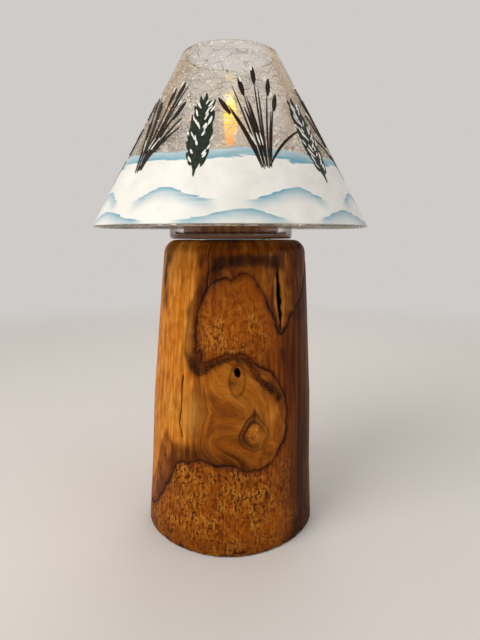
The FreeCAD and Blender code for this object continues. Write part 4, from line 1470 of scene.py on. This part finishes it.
@dataclass
class Studio:
    """A pale round cove, soft lamps and the camera."""

    flat: float = 1.3  # m from the middle to where the cove starts to rise
    rise: float = 0.5  # m, the cove's curve
    wall: float = 2.2  # m, the cove's height
    aim: float = 0.17  # m above the floor, where the lamps point
    camera_place: tuple[float, float, float] = (0.0, -0.3723, 0.2204)
    camera_turn: tuple[float, float, float] = (80.2, 0.0, -1.048)
    lens: float = 27.67
    sensor: float = 36.0

    def cove(self) -> None:
        """Sweep a floor into a round wall."""
        lean = np.linspace(0, math.pi / 2, 13)
        out = np.concatenate([[0.0, 0.4], self.flat + self.rise * np.sin(lean), [self.flat + self.rise]])
        up = np.concatenate([[0, 0], self.rise * (1 - np.cos(lean)), [self.wall]])
        angle = np.linspace(0, 2 * math.pi, 97)
        far = out[:, None]
        places = np.stack([far * np.cos(angle), far * np.sin(angle), up[:, None] + 0 * angle], -1)
        cove = shaped_grid("studio_cove", places, {})
        material, add, place = blank("studio_paper")
        paper = add("BsdfPrincipled", Base_Color="#DEDAD6", Roughness=0.8)
        # the wall is seen at one pale tone, whatever light falls on it
        away = add("VectorMath", place, operation="LENGTH")
        wall = add("MapRange", away, 0.55, 1.3, **EASED)
        path = add("LightPath").outputs
        seen = path["Is Camera Ray"]
        for ray in ("Is Transmission Ray", "Is Glossy Ray"):
            seen = add("Math", seen, path[ray], operation="MAXIMUM")
        share = add("Math", wall, seen, operation="MULTIPLY")
        tone = add("Emission", Color="#CFCBC8", Strength=1.0)
        dress(cove, surface(material, add("MixShader", share, paper, tone)))

    def lamp(
        self,
        name: str,
        place: tuple[float, float, float],
        size: float,
        power: float,
        code: str,
        mirrored: bool = True,
    ) -> None:
        """Hang one square soft lamp that points at the object's middle.

        Args:
            name: the lamp's name.
            place: where it hangs, in metres.
            size: its side in metres.
            power: its power in watts.
            code: its colour.
            mirrored: whether it shows in gloss.
        """
        bpy.ops.object.light_add(type="AREA", location=place)
        lamp = bpy.context.active_object
        lamp.name = name
        lamp.data.shape = "SQUARE"
        lamp.data.size = size
        lamp.data.energy = power
        lamp.data.color = linear(code)[:3]
        x, y, z = -place[0], -place[1], self.aim - place[2]
        tilt = math.pi / 2 + math.atan2(z, math.hypot(x, y))
        lamp.rotation_euler = (tilt, 0.0, math.atan2(y, x) - math.pi / 2)
        lamp.visible_camera = False
        lamp.visible_transmission = False
        lamp.visible_glossy = mirrored

    def build(self) -> None:
        """Set the room, its light and the camera."""
        self.cove()
        self.lamp("key_lamp", (-0.75, -0.65, 0.85), 0.7, 9.0, "#FFFCF7")
        self.lamp("fill_lamp", (0.9, -0.5, 0.5), 0.9, 1.8, "#F4F6FF")
        self.lamp("back_lamp", (0.2, 0.9, 0.9), 0.7, 3.0, "#FFFFFF", False)
        world = bpy.data.worlds.new("studio_air")
        world.use_nodes = True
        world.node_tree.nodes.clear()
        air = add_node(world.node_tree, "Background", Color="#E6E4E2", Strength=0.75)
        add_node(world.node_tree, "OutputWorld", Surface=air)
        bpy.context.scene.world = world
        camera = bpy.data.cameras.new("camera")
        camera.lens = self.lens
        camera.sensor_width = self.sensor
        camera.clip_start = 0.01
        holder = bpy.data.objects.new("camera", camera)
        bpy.context.scene.collection.objects.link(holder)
        holder.location = self.camera_place
        holder.rotation_euler = tuple(math.radians(t) for t in self.camera_turn)
        bpy.context.scene.camera = holder
        bpy.context.scene.view_settings.view_transform = "Standard"


def main() -> None:
    """Load the frame, dress it, build the new pieces and the studio, and log each step."""
    logging.basicConfig(level=logging.INFO, format="%(name)s: %(message)s")
    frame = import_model()
    for name, node in frame["nodes"].items():
        if name in NodeFinish.__members__:
            dress(node, NodeFinish[name].value.build())
            LOG.info("dressed %s", name)
    log = Log().build()
    LOG.info("built %s: %d faces", log.name, len(log.data.polygons))
    for piece in WinterPainting().build():
        LOG.info("built %s: %d faces", piece.name, len(piece.data.polygons))
    Studio().build()
    LOG.info("set the studio")


if __name__ == "__main__":
    main()
